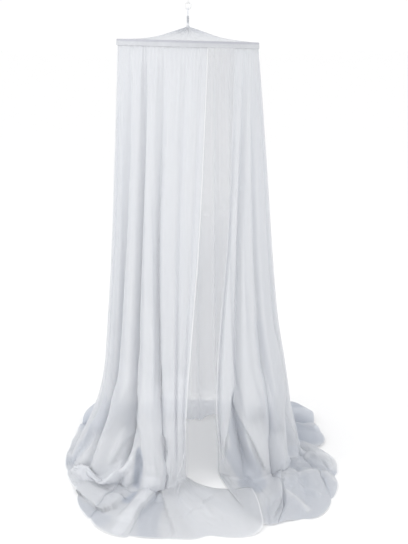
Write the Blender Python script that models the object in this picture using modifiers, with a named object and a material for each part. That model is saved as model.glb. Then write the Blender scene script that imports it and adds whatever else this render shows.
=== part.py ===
"""Mosquito net canopy with its hoop, hanging ring and ceiling hook.

Two net panels hang from a hoop, part at the front and lie in a puddle on the floor.
The canopy hangs from a plate on the ceiling, whose flat top is the origin. Metres, +Z up,
front of the canopy towards -Y.
"""

import math
from collections import namedtuple

import bmesh
import bpy
import numpy as np

# Driving dimensions
HOOP_HEIGHT = 2.12  # hoop above the floor
CEILING_DROP = 0.235  # ceiling down to the hoop
HOOP_RADIUS = 0.325  # to the middle of its tube
HOOP_TUBE = 0.004  # radius of the tube
HOOP_TILT = math.radians(1.5)  # the right side hangs lower
HOOP_STEPS = 48
TUBE_SIDES = 8  # round the tube of the hoop and of the ring

NET_THICKNESS = 0.0015
SEAM_HALF_GAP = 0.0003
TOUCH_GAP = 0.0003

CASING_DEPTH = 0.022
CASING_THICKNESS = 0.0012
CASING_FLARE = 0.0012
CASING_FOLD = [0, 40, 90, 140, 180]  # degrees over the hoop's tube, from outside to inside

CROWN_THICKNESS = 0.0012
NECK_RADIUS = 0.0049
NECK_TOP = 0.115  # above the hoop
NECK_SHOULDER = (0.0064, 0.069)  # radius and height above the hoop, where the neck begins
NECK_FOOT = 0.077  # height above the hoop, where the neck is at its own radius

RING_CENTRE = 0.160  # above the hoop
RING_RADIUS = 0.0145
RING_TUBE = 0.004
RING_STEPS = 24

TAPE_WIDTH = 0.006
TAPE_THICKNESS = 0.0012
TAPE_HALF_GAP = 0.0016  # from the middle to either run of the loop, inside the neck
TAPE_FOOT = 0.085  # lower end of the loop, above the hoop
TAPE_OVER_RING = 0.0054  # radius of the loop over the ring's tube
TAPE_CLOSE = 0.004  # its two runs meet this far above the neck

HOOK_WIRE = 0.0022  # radius
HOOK_BEND = 0.0068  # radius of the hook's bend round the ring's tube
HOOK_TIP = 0.006  # how far the tip stands up in front
HOOK_NECK = [(0.0068, 0.014), (0.005, 0.020), (0.0015, 0.025), (0.0, 0.031)]  # Y, height
PLATE_RADIUS = 0.019
PLATE_THICKNESS = 0.005
PLATE_SIDES = 32

HOOP_Z = -CEILING_DROP
FLOOR_Z = -CEILING_DROP - HOOP_HEIGHT

# Crown from its rim at the hoop to the foot of its neck: radius and height above the hoop.
CROWN_RIM_RISE = 0.001
CROWN_TILT_REACH = 0.95  # the crown follows the hoop's tilt in full from this share outwards
CROWN_SLOPE = [
    (0.300, 0.0045),
    (0.230, 0.0100),
    (0.160, 0.0195),
    (0.095, 0.0365),
    (0.045, 0.0510),
    (0.014, 0.0630),
]

# Wall of the canopy by height above the floor: radius on its four sides, and how much of
# each fold's depth shows there.
Section = namedtuple("Section", "height front left back right depth")
SECTIONS = [
    Section(2.1155, 0.325, 0.325, 0.325, 0.325, 0.05),
    Section(2.090, 0.325, 0.325, 0.325, 0.3255, 0.06),
    Section(1.950, 0.329, 0.329, 0.327, 0.334, 0.28),
    Section(1.600, 0.342, 0.346, 0.331, 0.362, 0.50),
    Section(1.200, 0.356, 0.368, 0.336, 0.392, 0.65),
    Section(0.800, 0.366, 0.396, 0.342, 0.428, 0.85),
    Section(0.450, 0.372, 0.430, 0.348, 0.485, 1.00),
]
WAIST_HEIGHT = 1.2  # above the floor

# Below the last section each fold goes out to its own foot, then along the floor to the hem.
Bend = namedtuple("Bend", "height outward depth rise")
BENDS = [
    Bend(0.290, 0.24, 1.00, 0.05),
    Bend(0.155, 0.60, 1.05, 0.25),
    Bend(0.055, 0.86, 1.10, 0.65),
]
Run = namedtuple("Run", "along depth rise")
RUNS = [
    Run(0.00, 1.10, 1.00),
    Run(0.28, 0.85, 1.00),
    Run(0.62, 0.40, 0.75),
    Run(1.00, 0.00, 0.32),
]

# One row for each fold's crest, from the front edge round to the back seam. Angles are
# degrees round from the front at the hoop, waist, knee, foot and hem, and how far the cloth
# swings aside midway along the floor. foot_r and reach are distances from the middle.
# depth is the fold's height off the wall, rise its height off the floor, tuck how far the
# hem draws in behind it, and lift how far its cloth stays off the floor throughout. pinch
# narrows the valleys beside it and lean tips it towards the front edge.
Fold = namedtuple(
    "Fold", "hoop waist knee foot hem swing foot_r reach depth rise tuck lift pinch lean"
)
LEFT_FOLDS = [
    Fold(-17, -8.3, 1, 4, -36, 0, 0.245, 0.480, 0.004, 0.003, 0.005, 0, 0.0, 0.0),
    Fold(-7, 1, 6, 9, -18, 0, 0.290, 0.825, 0.008, 0.010, 0.030, 0, 0.2, 0.0),
    Fold(7, 12, 12, 14, 3, 0, 0.350, 0.785, 0.014, 0.014, 0.015, 0, 0.4, 0.4),
    Fold(26, 28, 26, 21, 23.5, 2, 0.430, 0.825, 0.042, 0.036, 0.015, 0, 0.5, 0.6),
    Fold(40, 42, 47, 54, 41, -1, 0.520, 0.755, 0.046, 0.022, 0.010, 0, 0.5, 0.4),
    Fold(60, 62, 67, 72, 61, -2, 0.600, 0.665, 0.026, 0.014, 0.006, 0, 0.3, 0.4),
    Fold(77, 79, 85, 88, 83, -2, 0.620, 0.662, 0.018, 0.016, 0.006, 0, 0.4, -0.2),
    Fold(96, 98, 103, 104, 106, 0, 0.590, 0.675, 0.022, 0.025, 0.008, 0, 0.3, 0.3),
    Fold(114, 116, 120, 121, 129, 0, 0.500, 0.760, 0.030, 0.150, 0.040, 0, 0.5, -0.3),
    Fold(132, 134, 137, 138, 144, 0, 0.450, 0.715, 0.024, 0.050, 0.035, 0, 0.3, 0.3),
    Fold(148, 150, 152, 154, 157, 0, 0.410, 0.695, 0.030, 0.045, 0.025, 0, 0.5, 0.2),
    Fold(164, 165, 166, 167, 168, 0, 0.380, 0.680, 0.020, 0.030, 0.012, 0, 0.3, 0.0),
    Fold(180, 180, 180, 180, 180, 0, 0.370, 0.665, 0.000, 0.000, 0.000, 0, 0.0, 0.0),
]
RIGHT_FOLDS = [
    Fold(39.5, 28.5, 19, 35, 26, 8, 0.250, 0.700, 0.006, 0.004, 0.005, 0.005, 0.0, 0.0),
    Fold(46, 33, 25, 40, 27.5, 5, 0.330, 0.765, 0.016, 0.010, 0.005, 0.006, 0.3, 0.2),
    Fold(58, 44, 43, 50, 29.5, 2, 0.440, 0.785, 0.032, 0.026, 0.005, 0.006, 0.5, 0.5),
    Fold(71, 64, 66, 66, 34, 0, 0.520, 0.790, 0.024, 0.040, 0.012, 0.002, 0.4, 0.0),
    Fold(85, 87, 86, 79, 46, 0, 0.565, 0.860, 0.024, 0.036, 0.012, 0, 0.5, 0.4),
    Fold(97, 99, 98, 88, 62, 0, 0.580, 0.820, 0.024, 0.045, 0.015, 0, 0.4, 0.3),
    Fold(109, 110, 109, 97, 78, 0, 0.580, 0.780, 0.020, 0.050, 0.150, 0, 0.3, 0.3),
    Fold(121, 121, 121, 110, 106, 0, 0.550, 0.755, 0.026, 0.060, 0.010, 0, 0.4, -0.3),
    Fold(134, 134, 134, 125, 121, 0, 0.490, 0.810, 0.024, 0.160, 0.060, 0, 0.4, 0.3),
    Fold(149, 149, 149, 144, 142, 0, 0.440, 0.715, 0.030, 0.050, 0.030, 0, 0.5, -0.2),
    Fold(164, 164, 164, 162, 160, 0, 0.390, 0.690, 0.020, 0.030, 0.015, 0, 0.3, 0.2),
    Fold(180, 180, 180, 180, 180, 0, 0.370, 0.665, 0.000, 0.000, 0.000, 0, 0.0, 0.0),
]

# Creases that cross the folds: soft ridges, or troughs where height is negative, along a
# path on the cloth. Height and half width in metres; the path's points are x, y and height
# above the floor.
Crease = namedtuple("Crease", "side height width path")
CREASES = [
    # the ribbon that comes down beside the left front edge and turns out to the left
    Crease(-1, 0.040, 0.055, [
        (-0.170, -0.33, 0.60), (-0.160, -0.36, 0.35), (-0.145, -0.37, 0.20),
        (-0.150, -0.40, 0.08), (-0.190, -0.46, 0.03), (-0.250, -0.55, 0.02),
        (-0.290, -0.65, 0.02), (-0.315, -0.73, 0.01),
    ]),
    # the gap between the ribbon and the fold on its left
    Crease(-1, -0.030, 0.050, [
        (-0.245, -0.31, 0.45), (-0.250, -0.33, 0.25), (-0.270, -0.38, 0.10),
        (-0.275, -0.45, 0.02), (-0.300, -0.52, 0.01),
    ]),
    # the broad fold that runs down and out to a tip on the floor
    Crease(-1, 0.040, 0.070, [
        (-0.290, -0.27, 0.75), (-0.345, -0.25, 0.40), (-0.400, -0.24, 0.18),
        (-0.440, -0.26, 0.06), (-0.460, -0.30, 0.02),
    ]),
    # the ridge that swirls round its tip, the rounded lobe in front of it and the dip behind
    Crease(-1, 0.055, 0.060, [
        (-0.260, -0.36, 0.12), (-0.310, -0.37, 0.04), (-0.390, -0.37, 0.03),
        (-0.480, -0.35, 0.02), (-0.550, -0.28, 0.02), (-0.610, -0.18, 0.01),
        (-0.640, -0.08, 0.00),
    ]),
    Crease(-1, 0.030, 0.085, [(-0.320, -0.46, 0.02), (-0.410, -0.51, 0.02), (-0.500, -0.43, 0.01)]),
    Crease(-1, -0.025, 0.045, [(-0.440, -0.12, 0.20), (-0.530, -0.06, 0.08), (-0.620, 0.00, 0.02)]),
    # the long fold of the right panel that narrows to a point on the floor
    Crease(1, 0.040, 0.065, [
        (0.330, -0.28, 0.65), (0.370, -0.28, 0.35), (0.395, -0.28, 0.16), (0.400, -0.33, 0.05),
        (0.395, -0.45, 0.03), (0.385, -0.58, 0.02), (0.375, -0.69, 0.01),
    ]),
    # the ridge along the flap that stands out behind the right side
    Crease(1, 0.045, 0.060, [(0.510, 0.05, 0.25), (0.600, 0.12, 0.12), (0.700, 0.19, 0.03)]),
]
CREASE_TAPER = 0.25  # share of a crease's length over which each end fades

COLUMNS_PER_FOLD = 6
WALL_ROWS = 12
FLOOR_ROWS = 10
FLOOR_CLEARANCE = 0.001  # kept between the floor and cloth that a trough presses down
STEEPEST_DEPTH = 0.42  # a fold's depth is at most this share of its width
STEEPEST_RISE = 0.75  # and its rise off the floor at most this share


def smooth_curve(knots, values, at):
    """Values of a smooth curve through (knots, values) at the given places, without overshoot."""
    knots = np.asarray(knots, float)
    values = np.asarray(values, float)
    if values.ndim == 1:
        values = values[:, None]
    steps = np.diff(knots)[:, None]
    slopes = np.diff(values, axis=0) / steps
    before = np.vstack([slopes[:1], slopes])
    after = np.vstack([slopes, slopes[-1:]])
    same_way = before * after > 0
    total = np.where(same_way, before + after, 1.0)
    tangents = np.where(same_way, 2 * before * after / total, 0.0)
    at = np.clip(np.asarray(at, float), knots[0], knots[-1])
    cell = np.clip(np.searchsorted(knots, at, side="right") - 1, 0, len(knots) - 2)
    width = steps[cell]
    t = (at - knots[cell])[:, None] / width
    start = (1 + 2 * t) * (1 - t) ** 2
    end = t * t * (3 - 2 * t)
    lead = t * (1 - t) ** 2 * width
    trail = t * t * (t - 1) * width
    return (
        start * values[cell]
        + end * values[cell + 1]
        + lead * tangents[cell]
        + trail * tangents[cell + 1]
    )


def polar(degrees, radius, side):
    """Plan position at an angle round from the front (-Y). side is -1 for left, 1 for right."""
    turn = np.radians(degrees)
    return np.stack([side * radius * np.sin(turn), -radius * np.cos(turn)], axis=-1)


def wall_radius(section, degrees, side):
    """Radius of a section at an angle round from the front, blended between its four sides."""
    turn = np.radians(degrees)
    across = np.sin(turn) ** 2
    ends = np.where(np.cos(turn) > 0, section.front, section.back)
    flank = section.left if side < 0 else section.right
    return ends * (1 - across) + flank * across


def base_course(fold, side):
    """Plan positions of the cloth at every level, without its folds: levels by columns by 2."""
    last = SECTIONS[-1]
    turns = np.stack([fold.hoop, fold.waist, fold.knee, fold.foot])
    drops = [-SECTIONS[0].height, -WAIST_HEIGHT, -last.height, 0.0]

    def turn_at(height):
        return smooth_curve(drops, turns, [-height])[0]

    plans = []
    for section in SECTIONS:
        turn = turn_at(section.height)
        plans.append(polar(turn, wall_radius(section, turn, side), side))
    knee_radius = wall_radius(last, turn_at(last.height), side)
    for bend in BENDS:
        radius = knee_radius + (fold.foot_r - knee_radius) * bend.outward
        plans.append(polar(turn_at(bend.height), radius, side))
    foot = polar(fold.foot, fold.foot_r, side)
    halfway = (fold.foot + fold.hem) / 2 + fold.swing
    middle = polar(halfway, (fold.foot_r + fold.reach) / 2, side)
    hem = polar(fold.hem, fold.reach, side)
    for run in RUNS:
        t = run.along
        plans.append(
            foot * (1 - t) * (1 - 2 * t) + middle * 4 * t * (1 - t) + hem * t * (2 * t - 1)
        )
    return np.array(plans)


def panel_points(folds, side, columns, rows, ripple=1.0):
    """Grid of points of one net panel, columns by rows by 3, from its front edge to its seam.

    ripple scales the folds, so that 0 gives the panel without them.
    """
    table = np.array([list(fold) for fold in folds])
    places = np.arange(len(folds))
    around = 2 * np.pi * columns
    pinch, lean = smooth_curve(places, table[:, -2:], columns).T
    shift = (pinch * np.sin(around) + lean * (1 - np.cos(around))) / (2 * np.pi)
    warped = columns + shift * ripple
    fold = Fold(*smooth_curve(places, table, warped).T)
    wave = np.cos(around) * ripple
    crest = 0.5 + 0.5 * wave
    tuck = np.interp(np.floor(columns), places, table[:, Fold._fields.index("tuck")])
    fold = fold._replace(reach=fold.reach - tuck * (0.5 - 0.5 * wave))

    plans = base_course(fold, side)
    crests = base_course(Fold(*table.T), side)
    gaps = np.linalg.norm(np.gradient(crests, axis=1), axis=2)
    widths = np.array([np.interp(warped, places, gap) for gap in gaps])
    levels = [*SECTIONS, *BENDS, *RUNS]
    heights = np.array([getattr(level, "height", NET_THICKNESS / 2) for level in levels])[:, None]
    depths = np.array([level.depth for level in levels])[:, None]
    rises = np.array([getattr(level, "rise", 0.0) for level in levels])[:, None]
    lifts = np.array([min(1.0, 2 * getattr(level, "along", 0.0)) for level in levels])[:, None]

    away = plans / np.linalg.norm(plans, axis=2, keepdims=True)
    out = np.minimum(fold.depth, STEEPEST_DEPTH * widths) * depths * wave
    plans = plans + away * out[:, :, None]
    up = np.minimum(fold.rise * rises, STEEPEST_RISE * widths) * crest + fold.lift * lifts
    tilt = -plans[:, :, 0] * math.tan(HOOP_TILT) * np.minimum(heights / HOOP_HEIGHT, 1) ** 2
    points = np.dstack([plans, heights + tilt + up])
    stack = points.reshape(len(levels), -1)
    grid = smooth_curve(np.arange(len(levels)), stack, rows).reshape(len(rows), len(columns), 3)
    grid = grid.transpose(1, 0, 2)
    grid[:, :, 2] = np.maximum(grid[:, :, 2], NET_THICKNESS / 2) + FLOOR_Z
    grid[-1, :, 0] = side * SEAM_HALF_GAP
    return grid


def surface_normals(grid):
    """Outward unit normals of a grid of points round the canopy's middle."""
    across = np.gradient(grid, axis=0)
    down = np.gradient(grid, axis=1)
    normals = np.cross(across, down)
    outward = grid * (1, 1, 0)
    outward[:, :, 2] = np.linalg.norm(grid[:, :, :2], axis=2)
    facing = np.sign(np.sum(normals * outward, axis=2, keepdims=True))
    return normals * facing / np.linalg.norm(normals, axis=2, keepdims=True)


def crease_strength(points, crease):
    """How strongly a crease acts at each point: 1 on its path, fading to 0 at its width."""
    path = np.array(crease.path) + (0, 0, FLOOR_Z)
    steps = np.diff(path, axis=0)
    lengths = np.linalg.norm(steps, axis=1)
    starts = np.concatenate([[0], np.cumsum(lengths)[:-1]])
    nearest = np.full(len(points), np.inf)
    along = np.zeros(len(points))
    for begin, step, length, start in zip(path, steps, lengths, starts):
        share = np.clip((points - begin) @ step / length**2, 0, 1)
        away = np.linalg.norm(points - begin - share[:, None] * step, axis=1)
        along = np.where(away < nearest, start + share * length, along)
        nearest = np.minimum(away, nearest)
    total = lengths.sum()
    end = np.clip(np.minimum(along, total - along) / (CREASE_TAPER * total), 0, 1)
    side = np.clip(1 - (nearest / crease.width) ** 2, 0, 1)
    return side**2 * end * (2 - end)


def add_creases(grid, normals, creases):
    """Move a grid of points along the normals by the creases, never below the floor."""
    moved = grid.copy()
    for crease in creases:
        strength = crease_strength(grid.reshape(-1, 3), crease).reshape(grid.shape[:2])
        moved += normals * (strength * crease.height)[:, :, None]
    lowest = np.minimum(grid[:, :, 2], FLOOR_Z + NET_THICKNESS / 2 + FLOOR_CLEARANCE)
    moved[:, :, 2] = np.maximum(moved[:, :, 2], lowest)
    return moved


def grid_mesh(name, grid, flip):
    """Open mesh over a grid of points, facing out."""
    columns, rows = grid.shape[:2]
    mesh = bpy.data.meshes.new(name)
    faces = []
    for i in range(columns - 1):
        for j in range(rows - 1):
            a = i * rows + j
            face = (a, a + rows, a + rows + 1, a + 1)
            faces.append(face[::-1] if flip else face)
    mesh.from_pydata(grid.reshape(-1, 3).tolist(), [], faces)
    mesh.update()
    return mesh


def material(name, colour, roughness, metallic=0.0):
    """Plain Principled material."""
    made = bpy.data.materials.new(name)
    made.use_nodes = True
    shader = made.node_tree.nodes["Principled BSDF"]
    shader.inputs["Base Color"].default_value = (*colour, 1.0)
    shader.inputs["Roughness"].default_value = roughness
    shader.inputs["Metallic"].default_value = metallic
    return made


def add_object(name, data, collection, finish):
    """New object in the collection with its material."""
    made = bpy.data.objects.new(name, data)
    collection.objects.link(made)
    data.materials.append(finish)
    return made


def thicken(made, thickness, offset=0.0):
    """Solidify modifier on an open surface."""
    shell = made.modifiers.new("Thickness", "SOLIDIFY")
    shell.thickness = thickness
    shell.offset = offset
    shell.use_even_offset = False


def net_panel(name, folds, side, collection, finish):
    """One net panel, wall and puddle in one sheet."""
    columns = np.linspace(0, len(folds) - 1, (len(folds) - 1) * COLUMNS_PER_FOLD + 1)
    wall = len(SECTIONS) + len(BENDS) - 1
    rows = np.concatenate(
        [
            np.linspace(0, wall, WALL_ROWS + 1)[:-1],
            np.linspace(wall, wall + len(RUNS), FLOOR_ROWS + 1),
        ]
    )
    creases = [crease for crease in CREASES if crease.side == side]
    normals = surface_normals(panel_points(folds, side, columns, rows, ripple=0.0))
    grid = add_creases(panel_points(folds, side, columns, rows), normals, creases)
    made = add_object(name, grid_mesh(name, grid, side > 0), collection, finish)
    made.data.shade_smooth()
    thicken(made, NET_THICKNESS)
    return made


def turned_sheet(name, profile, collection, finish):
    """Open sheet made by turning a profile of (radius, height) points round Z."""
    shape = bmesh.new()
    points = [shape.verts.new((radius, 0, height)) for radius, height in profile]
    for upper, lower in zip(points, points[1:]):
        shape.edges.new((upper, lower))
    bmesh.ops.spin(
        shape,
        geom=shape.verts[:] + shape.edges[:],
        axis=(0, 0, 1),
        cent=(0, 0, 0),
        steps=HOOP_STEPS,
        angle=math.tau,
    )
    bmesh.ops.remove_doubles(shape, verts=shape.verts[:], dist=1e-6)
    bmesh.ops.recalc_face_normals(shape, faces=shape.faces[:])
    mesh = bpy.data.meshes.new(name)
    shape.to_mesh(mesh)
    shape.free()
    mesh.shade_smooth()
    return add_object(name, mesh, collection, finish)


def adopt(name, collection, finish):
    """Name the primitive just added, move it to the collection and give it its material."""
    made = bpy.context.object
    made.name = name
    made.data.name = name
    for home in list(made.users_collection):
        home.objects.unlink(made)
    collection.objects.link(made)
    made.data.materials.append(finish)
    return made


def torus(name, radius, tube, steps, collection, finish):
    """Closed ring round Z."""
    bpy.ops.mesh.primitive_torus_add(
        major_radius=radius, minor_radius=tube, major_segments=steps, minor_segments=TUBE_SIDES
    )
    made = adopt(name, collection, finish)
    made.data.shade_smooth()
    return made


def hoop(collection, finish):
    """The stiff hoop inside the casing, a little off level."""
    made = torus("hoop", HOOP_RADIUS, HOOP_TUBE, HOOP_STEPS, collection, finish)
    made.location.z = HOOP_Z
    made.rotation_euler.y = HOOP_TILT


def heading_casing(collection, finish):
    """Band folded over the hoop, open below, where the panels hang out of it."""
    over = HOOP_TUBE + 2 * TOUCH_GAP + CASING_THICKNESS / 2
    skirt = over + CASING_FLARE
    fold = [math.radians(angle) for angle in CASING_FOLD]
    arch = [(HOOP_RADIUS + over * math.cos(a), over * math.sin(a)) for a in fold]
    profile = [
        (HOOP_RADIUS + skirt, -CASING_DEPTH),
        *arch,
        (HOOP_RADIUS - skirt, -CASING_DEPTH),
    ]
    made = turned_sheet("heading_casing", profile, collection, finish)
    made.location.z = HOOP_Z
    made.rotation_euler.y = HOOP_TILT
    thicken(made, CASING_THICKNESS)


def crown_net(collection, finish):
    """Shallow tent from the hoop up to a gathered neck."""
    rim = HOOP_RADIUS - HOOP_TUBE - 3 * TOUCH_GAP - CASING_THICKNESS
    profile = [
        (rim, CROWN_RIM_RISE),
        *CROWN_SLOPE,
        NECK_SHOULDER,
        (NECK_RADIUS, NECK_FOOT),
        (NECK_RADIUS, NECK_TOP),
    ]
    made = turned_sheet("crown_net", profile, collection, finish)
    made.location.z = HOOP_Z
    for point in made.data.vertices:
        out = math.hypot(point.co.x, point.co.y) / (CROWN_TILT_REACH * HOOP_RADIUS)
        point.co.z -= point.co.x * math.tan(HOOP_TILT) * min(1.0, out)
    thicken(made, CROWN_THICKNESS)


def hanging_ring(collection, finish):
    """Ring that carries the tape loop and hangs on the hook."""
    made = torus("hanging_ring", RING_RADIUS, RING_TUBE, RING_STEPS, collection, finish)
    made.location.z = HOOP_Z + RING_CENTRE
    made.rotation_euler.x = math.pi / 2


def hanging_tape(collection, finish):
    """Closed loop of tape, over the ring's tube and down into the neck."""
    ring_foot = RING_CENTRE - RING_RADIUS
    over = [math.radians(angle) for angle in range(0, 181, 30)]
    under = [math.radians(angle) for angle in range(180, 361, 60)]
    foot = TAPE_FOOT + TAPE_HALF_GAP
    path = [(TAPE_OVER_RING * math.cos(a), ring_foot + TAPE_OVER_RING * math.sin(a)) for a in over]
    path += [(-TAPE_HALF_GAP, NECK_TOP + TAPE_CLOSE)]
    path += [(TAPE_HALF_GAP * math.cos(a), foot + TAPE_HALF_GAP * math.sin(a)) for a in under]
    path += [(TAPE_HALF_GAP, NECK_TOP + TAPE_CLOSE)]
    edge = TAPE_WIDTH / 2
    points = [(x, y, z) for y, z in path for x in (-edge, edge)]
    count = len(path)
    faces = []
    for i in range(count):
        a, b = 2 * i, 2 * ((i + 1) % count)
        faces.append((a, a + 1, b + 1, b))
    mesh = bpy.data.meshes.new("hanging_tape")
    mesh.from_pydata(points, [], faces)
    made = add_object("hanging_tape", mesh, collection, finish)
    made.location.z = HOOP_Z
    thicken(made, TAPE_THICKNESS)


def ceiling_hook(collection, finish):
    """Bent wire hook under the plate, with the ring in its bend."""
    eye = RING_CENTRE + RING_RADIUS - CEILING_DROP
    bend = [math.radians(angle) for angle in range(180, 361, 30)]
    path = [(-HOOK_BEND, eye + HOOK_TIP)]
    path += [(HOOK_BEND * math.cos(a), eye + HOOK_BEND * math.sin(a)) for a in bend]
    path += [(y, eye + rise) for y, rise in HOOK_NECK]
    path += [(0.0, -PLATE_THICKNESS - TOUCH_GAP)]
    curve = bpy.data.curves.new("ceiling_hook", "CURVE")
    curve.dimensions = "3D"
    curve.bevel_depth = HOOK_WIRE
    curve.bevel_resolution = 2
    curve.use_fill_caps = True
    spline = curve.splines.new("POLY")
    spline.points.add(len(path) - 1)
    for point, (y, z) in zip(spline.points, path):
        point.co = (0.0, y, z, 1.0)
    add_object("ceiling_hook", curve, collection, finish)


def ceiling_plate(collection, finish):
    """Round plate whose flat top lies on the ceiling."""
    bpy.ops.mesh.primitive_cylinder_add(
        vertices=PLATE_SIDES,
        radius=PLATE_RADIUS,
        depth=PLATE_THICKNESS,
        location=(0, 0, -PLATE_THICKNESS / 2),
    )
    adopt("ceiling_plate", collection, finish)


def clear_scene():
    """Remove every object of the open file."""
    for old in list(bpy.data.objects):
        bpy.data.objects.remove(old, do_unlink=True)


def build():
    """Model the canopy."""
    clear_scene()
    canopy = bpy.data.collections.new("mosquito_net_canopy")
    bpy.context.scene.collection.children.link(canopy)
    net = material("net", (0.86, 0.88, 0.91), 0.85)
    binding = material("binding", (0.84, 0.85, 0.88), 0.8)
    plastic = material("white_plastic", (0.90, 0.90, 0.90), 0.35)
    enamel = material("white_enamel", (0.88, 0.88, 0.88), 0.3)
    ceiling_plate(canopy, enamel)
    ceiling_hook(canopy, enamel)
    hanging_ring(canopy, plastic)
    hanging_tape(canopy, binding)
    crown_net(canopy, net)
    hoop(canopy, plastic)
    heading_casing(canopy, binding)
    net_panel("left_net", LEFT_FOLDS, -1, canopy, net)
    net_panel("right_net", RIGHT_FOLDS, 1, canopy, net)


build()
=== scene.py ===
"""Looks of the mosquito net canopy: sheer net, bindings, hardware, studio and camera.

Every length is in metres. The origin is the middle of the ceiling plate's top face, +Z is
up and the opening faces -Y.
"""

import logging
import math
from dataclasses import dataclass
from enum import Enum
from typing import NamedTuple, Sequence

import bpy
import numpy as np
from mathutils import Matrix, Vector, noise


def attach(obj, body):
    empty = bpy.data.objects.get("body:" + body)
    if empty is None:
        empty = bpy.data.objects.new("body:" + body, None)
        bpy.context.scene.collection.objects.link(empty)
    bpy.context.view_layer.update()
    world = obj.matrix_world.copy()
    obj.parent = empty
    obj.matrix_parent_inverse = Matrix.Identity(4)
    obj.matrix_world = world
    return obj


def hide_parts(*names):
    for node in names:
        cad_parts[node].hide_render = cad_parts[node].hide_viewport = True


LOG = logging.getLogger("canopy")

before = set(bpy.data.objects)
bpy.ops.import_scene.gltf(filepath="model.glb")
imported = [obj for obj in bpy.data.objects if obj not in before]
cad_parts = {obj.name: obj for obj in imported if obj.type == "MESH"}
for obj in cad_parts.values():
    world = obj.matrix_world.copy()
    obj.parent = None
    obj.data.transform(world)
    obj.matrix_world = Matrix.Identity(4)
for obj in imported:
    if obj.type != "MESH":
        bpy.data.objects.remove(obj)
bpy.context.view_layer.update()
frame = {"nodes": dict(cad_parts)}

HOOP_HEIGHT = 2.12  # hoop above the floor
CEILING_DROP = 0.235  # ceiling down to the hoop
HOOP_RADIUS = 0.325  # to the middle of its tube
HOOP_TILT = math.radians(1.5)  # the right side hangs lower
HOOP_Z = -CEILING_DROP
FLOOR_Z = -CEILING_DROP - HOOP_HEIGHT
NET_THICKNESS = 0.0015
TINY = 1e-9  # keeps a division by a length safe
WEAVE_MAP = "weave_map"

Colour = tuple[float, float, float]
Place = tuple[float, float, float]
Socket = bpy.types.NodeSocket


class Side(Enum):
    """Which of the two panels, by the sign of its X."""

    LEFT = -1
    RIGHT = 1


class Slot(Enum):
    """Material slots of the record for the cloth."""

    NET = "net"
    BINDING = "binding"


class Mask(Enum):
    """Named values kept at each point of a cloth mesh."""

    HEM = "hem"
    # gather: how far the cloth is gathered, with painted shade in fold valleys and a painted darker
    # tone on lobes
    GATHER_AND_SHADE = "gather_and_shade"
    # layer: tone of the net's layers, with painted highlights, painted light on the back and painted
    # shade
    LAYER_AND_PAINTED_LIGHT = "layer"


class Ramp(NamedTuple):
    """A soft step, from 0 at one value to 1 at another."""

    off: float
    on: float


# --------------------------------------------------------------------------------------
# Shaping helpers
# --------------------------------------------------------------------------------------


def smooth_curve(knots: Sequence[float], values: np.ndarray, at: np.ndarray) -> np.ndarray:
    """Evaluate a smooth curve through some points, without overshoot.

    Args:
        knots: places of the points, rising.
        values: one value or one row of values at each knot.
        at: places to evaluate.

    Returns:
        One row of values for each place.
    """
    knots = np.asarray(knots, float)
    values = np.asarray(values, float)
    if values.ndim == 1:
        values = values[:, None]
    steps = np.diff(knots)[:, None]
    slopes = np.diff(values, axis=0) / steps
    before = np.vstack([slopes[:1], slopes])
    after = np.vstack([slopes, slopes[-1:]])
    same_way = before * after > 0
    total = np.where(same_way, before + after, 1.0)
    tangents = np.where(same_way, 2 * before * after / total, 0.0)
    at = np.clip(np.asarray(at, float), knots[0], knots[-1])
    cell = np.clip(np.searchsorted(knots, at, side="right") - 1, 0, len(knots) - 2)
    width = steps[cell]
    t = (at - knots[cell])[:, None] / width
    start = (1 + 2 * t) * (1 - t) ** 2
    end = t * t * (3 - 2 * t)
    lead = t * (1 - t) ** 2 * width
    trail = t * t * (t - 1) * width
    return (
        start * values[cell]
        + end * values[cell + 1]
        + lead * tangents[cell]
        + trail * tangents[cell + 1]
    )


def fade(value: np.ndarray, low: float, high: float) -> np.ndarray:
    """Smooth step from 0 at low to 1 at high; low may be the larger."""
    t = np.clip((np.asarray(value, float) - low) / (high - low), 0, 1)
    return t * t * (3 - 2 * t)


def polar(degrees: np.ndarray, radius: np.ndarray, side: int) -> np.ndarray:
    """Plan position at an angle round from the front, on one side."""
    turn = np.radians(degrees)
    return np.stack([side * radius * np.sin(turn), -radius * np.cos(turn)], axis=-1)


def uneven_wave(
    turn: np.ndarray, count: float, sway: float, beats: float, start: float = 0.0
) -> np.ndarray:
    """Make a wave whose crests are unevenly spaced.

    Args:
        turn: places along the wave.
        count: radians of wave for each unit of place.
        sway: how far the crests are shifted to and fro, in radians.
        beats: how often they are.
        start: the wave's first angle.

    Returns:
        The wave, from -1 to 1, at each place.
    """
    return np.cos(count * turn + sway * np.sin(beats * turn) + start)


def ring_points(radius: np.ndarray, turn: np.ndarray, height: np.ndarray) -> np.ndarray:
    """Place a grid of points round the Z axis.

    Args:
        radius: distance from the axis.
        turn: angle round it, one for each column.
        height: height of each point.

    Returns:
        Grid of columns by rows by 3.
    """
    parts = np.broadcast_arrays(radius * np.cos(turn), radius * np.sin(turn), height)
    return np.stack(parts, axis=-1)


def surface_normals(grid: np.ndarray) -> np.ndarray:
    """Find the outward normals of a grid of points round the canopy's middle.

    Args:
        grid: columns by rows by 3.

    Returns:
        A unit normal for each point.
    """
    normals = np.cross(np.gradient(grid, axis=0), np.gradient(grid, axis=1))
    outward = grid * (1, 1, 0)
    outward[:, :, 2] = np.linalg.norm(grid[:, :, :2], axis=2)
    facing = np.sign(np.sum(normals * outward, axis=2, keepdims=True))
    facing[facing == 0] = 1
    return normals * facing / np.maximum(np.linalg.norm(normals, axis=2, keepdims=True), TINY)


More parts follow.
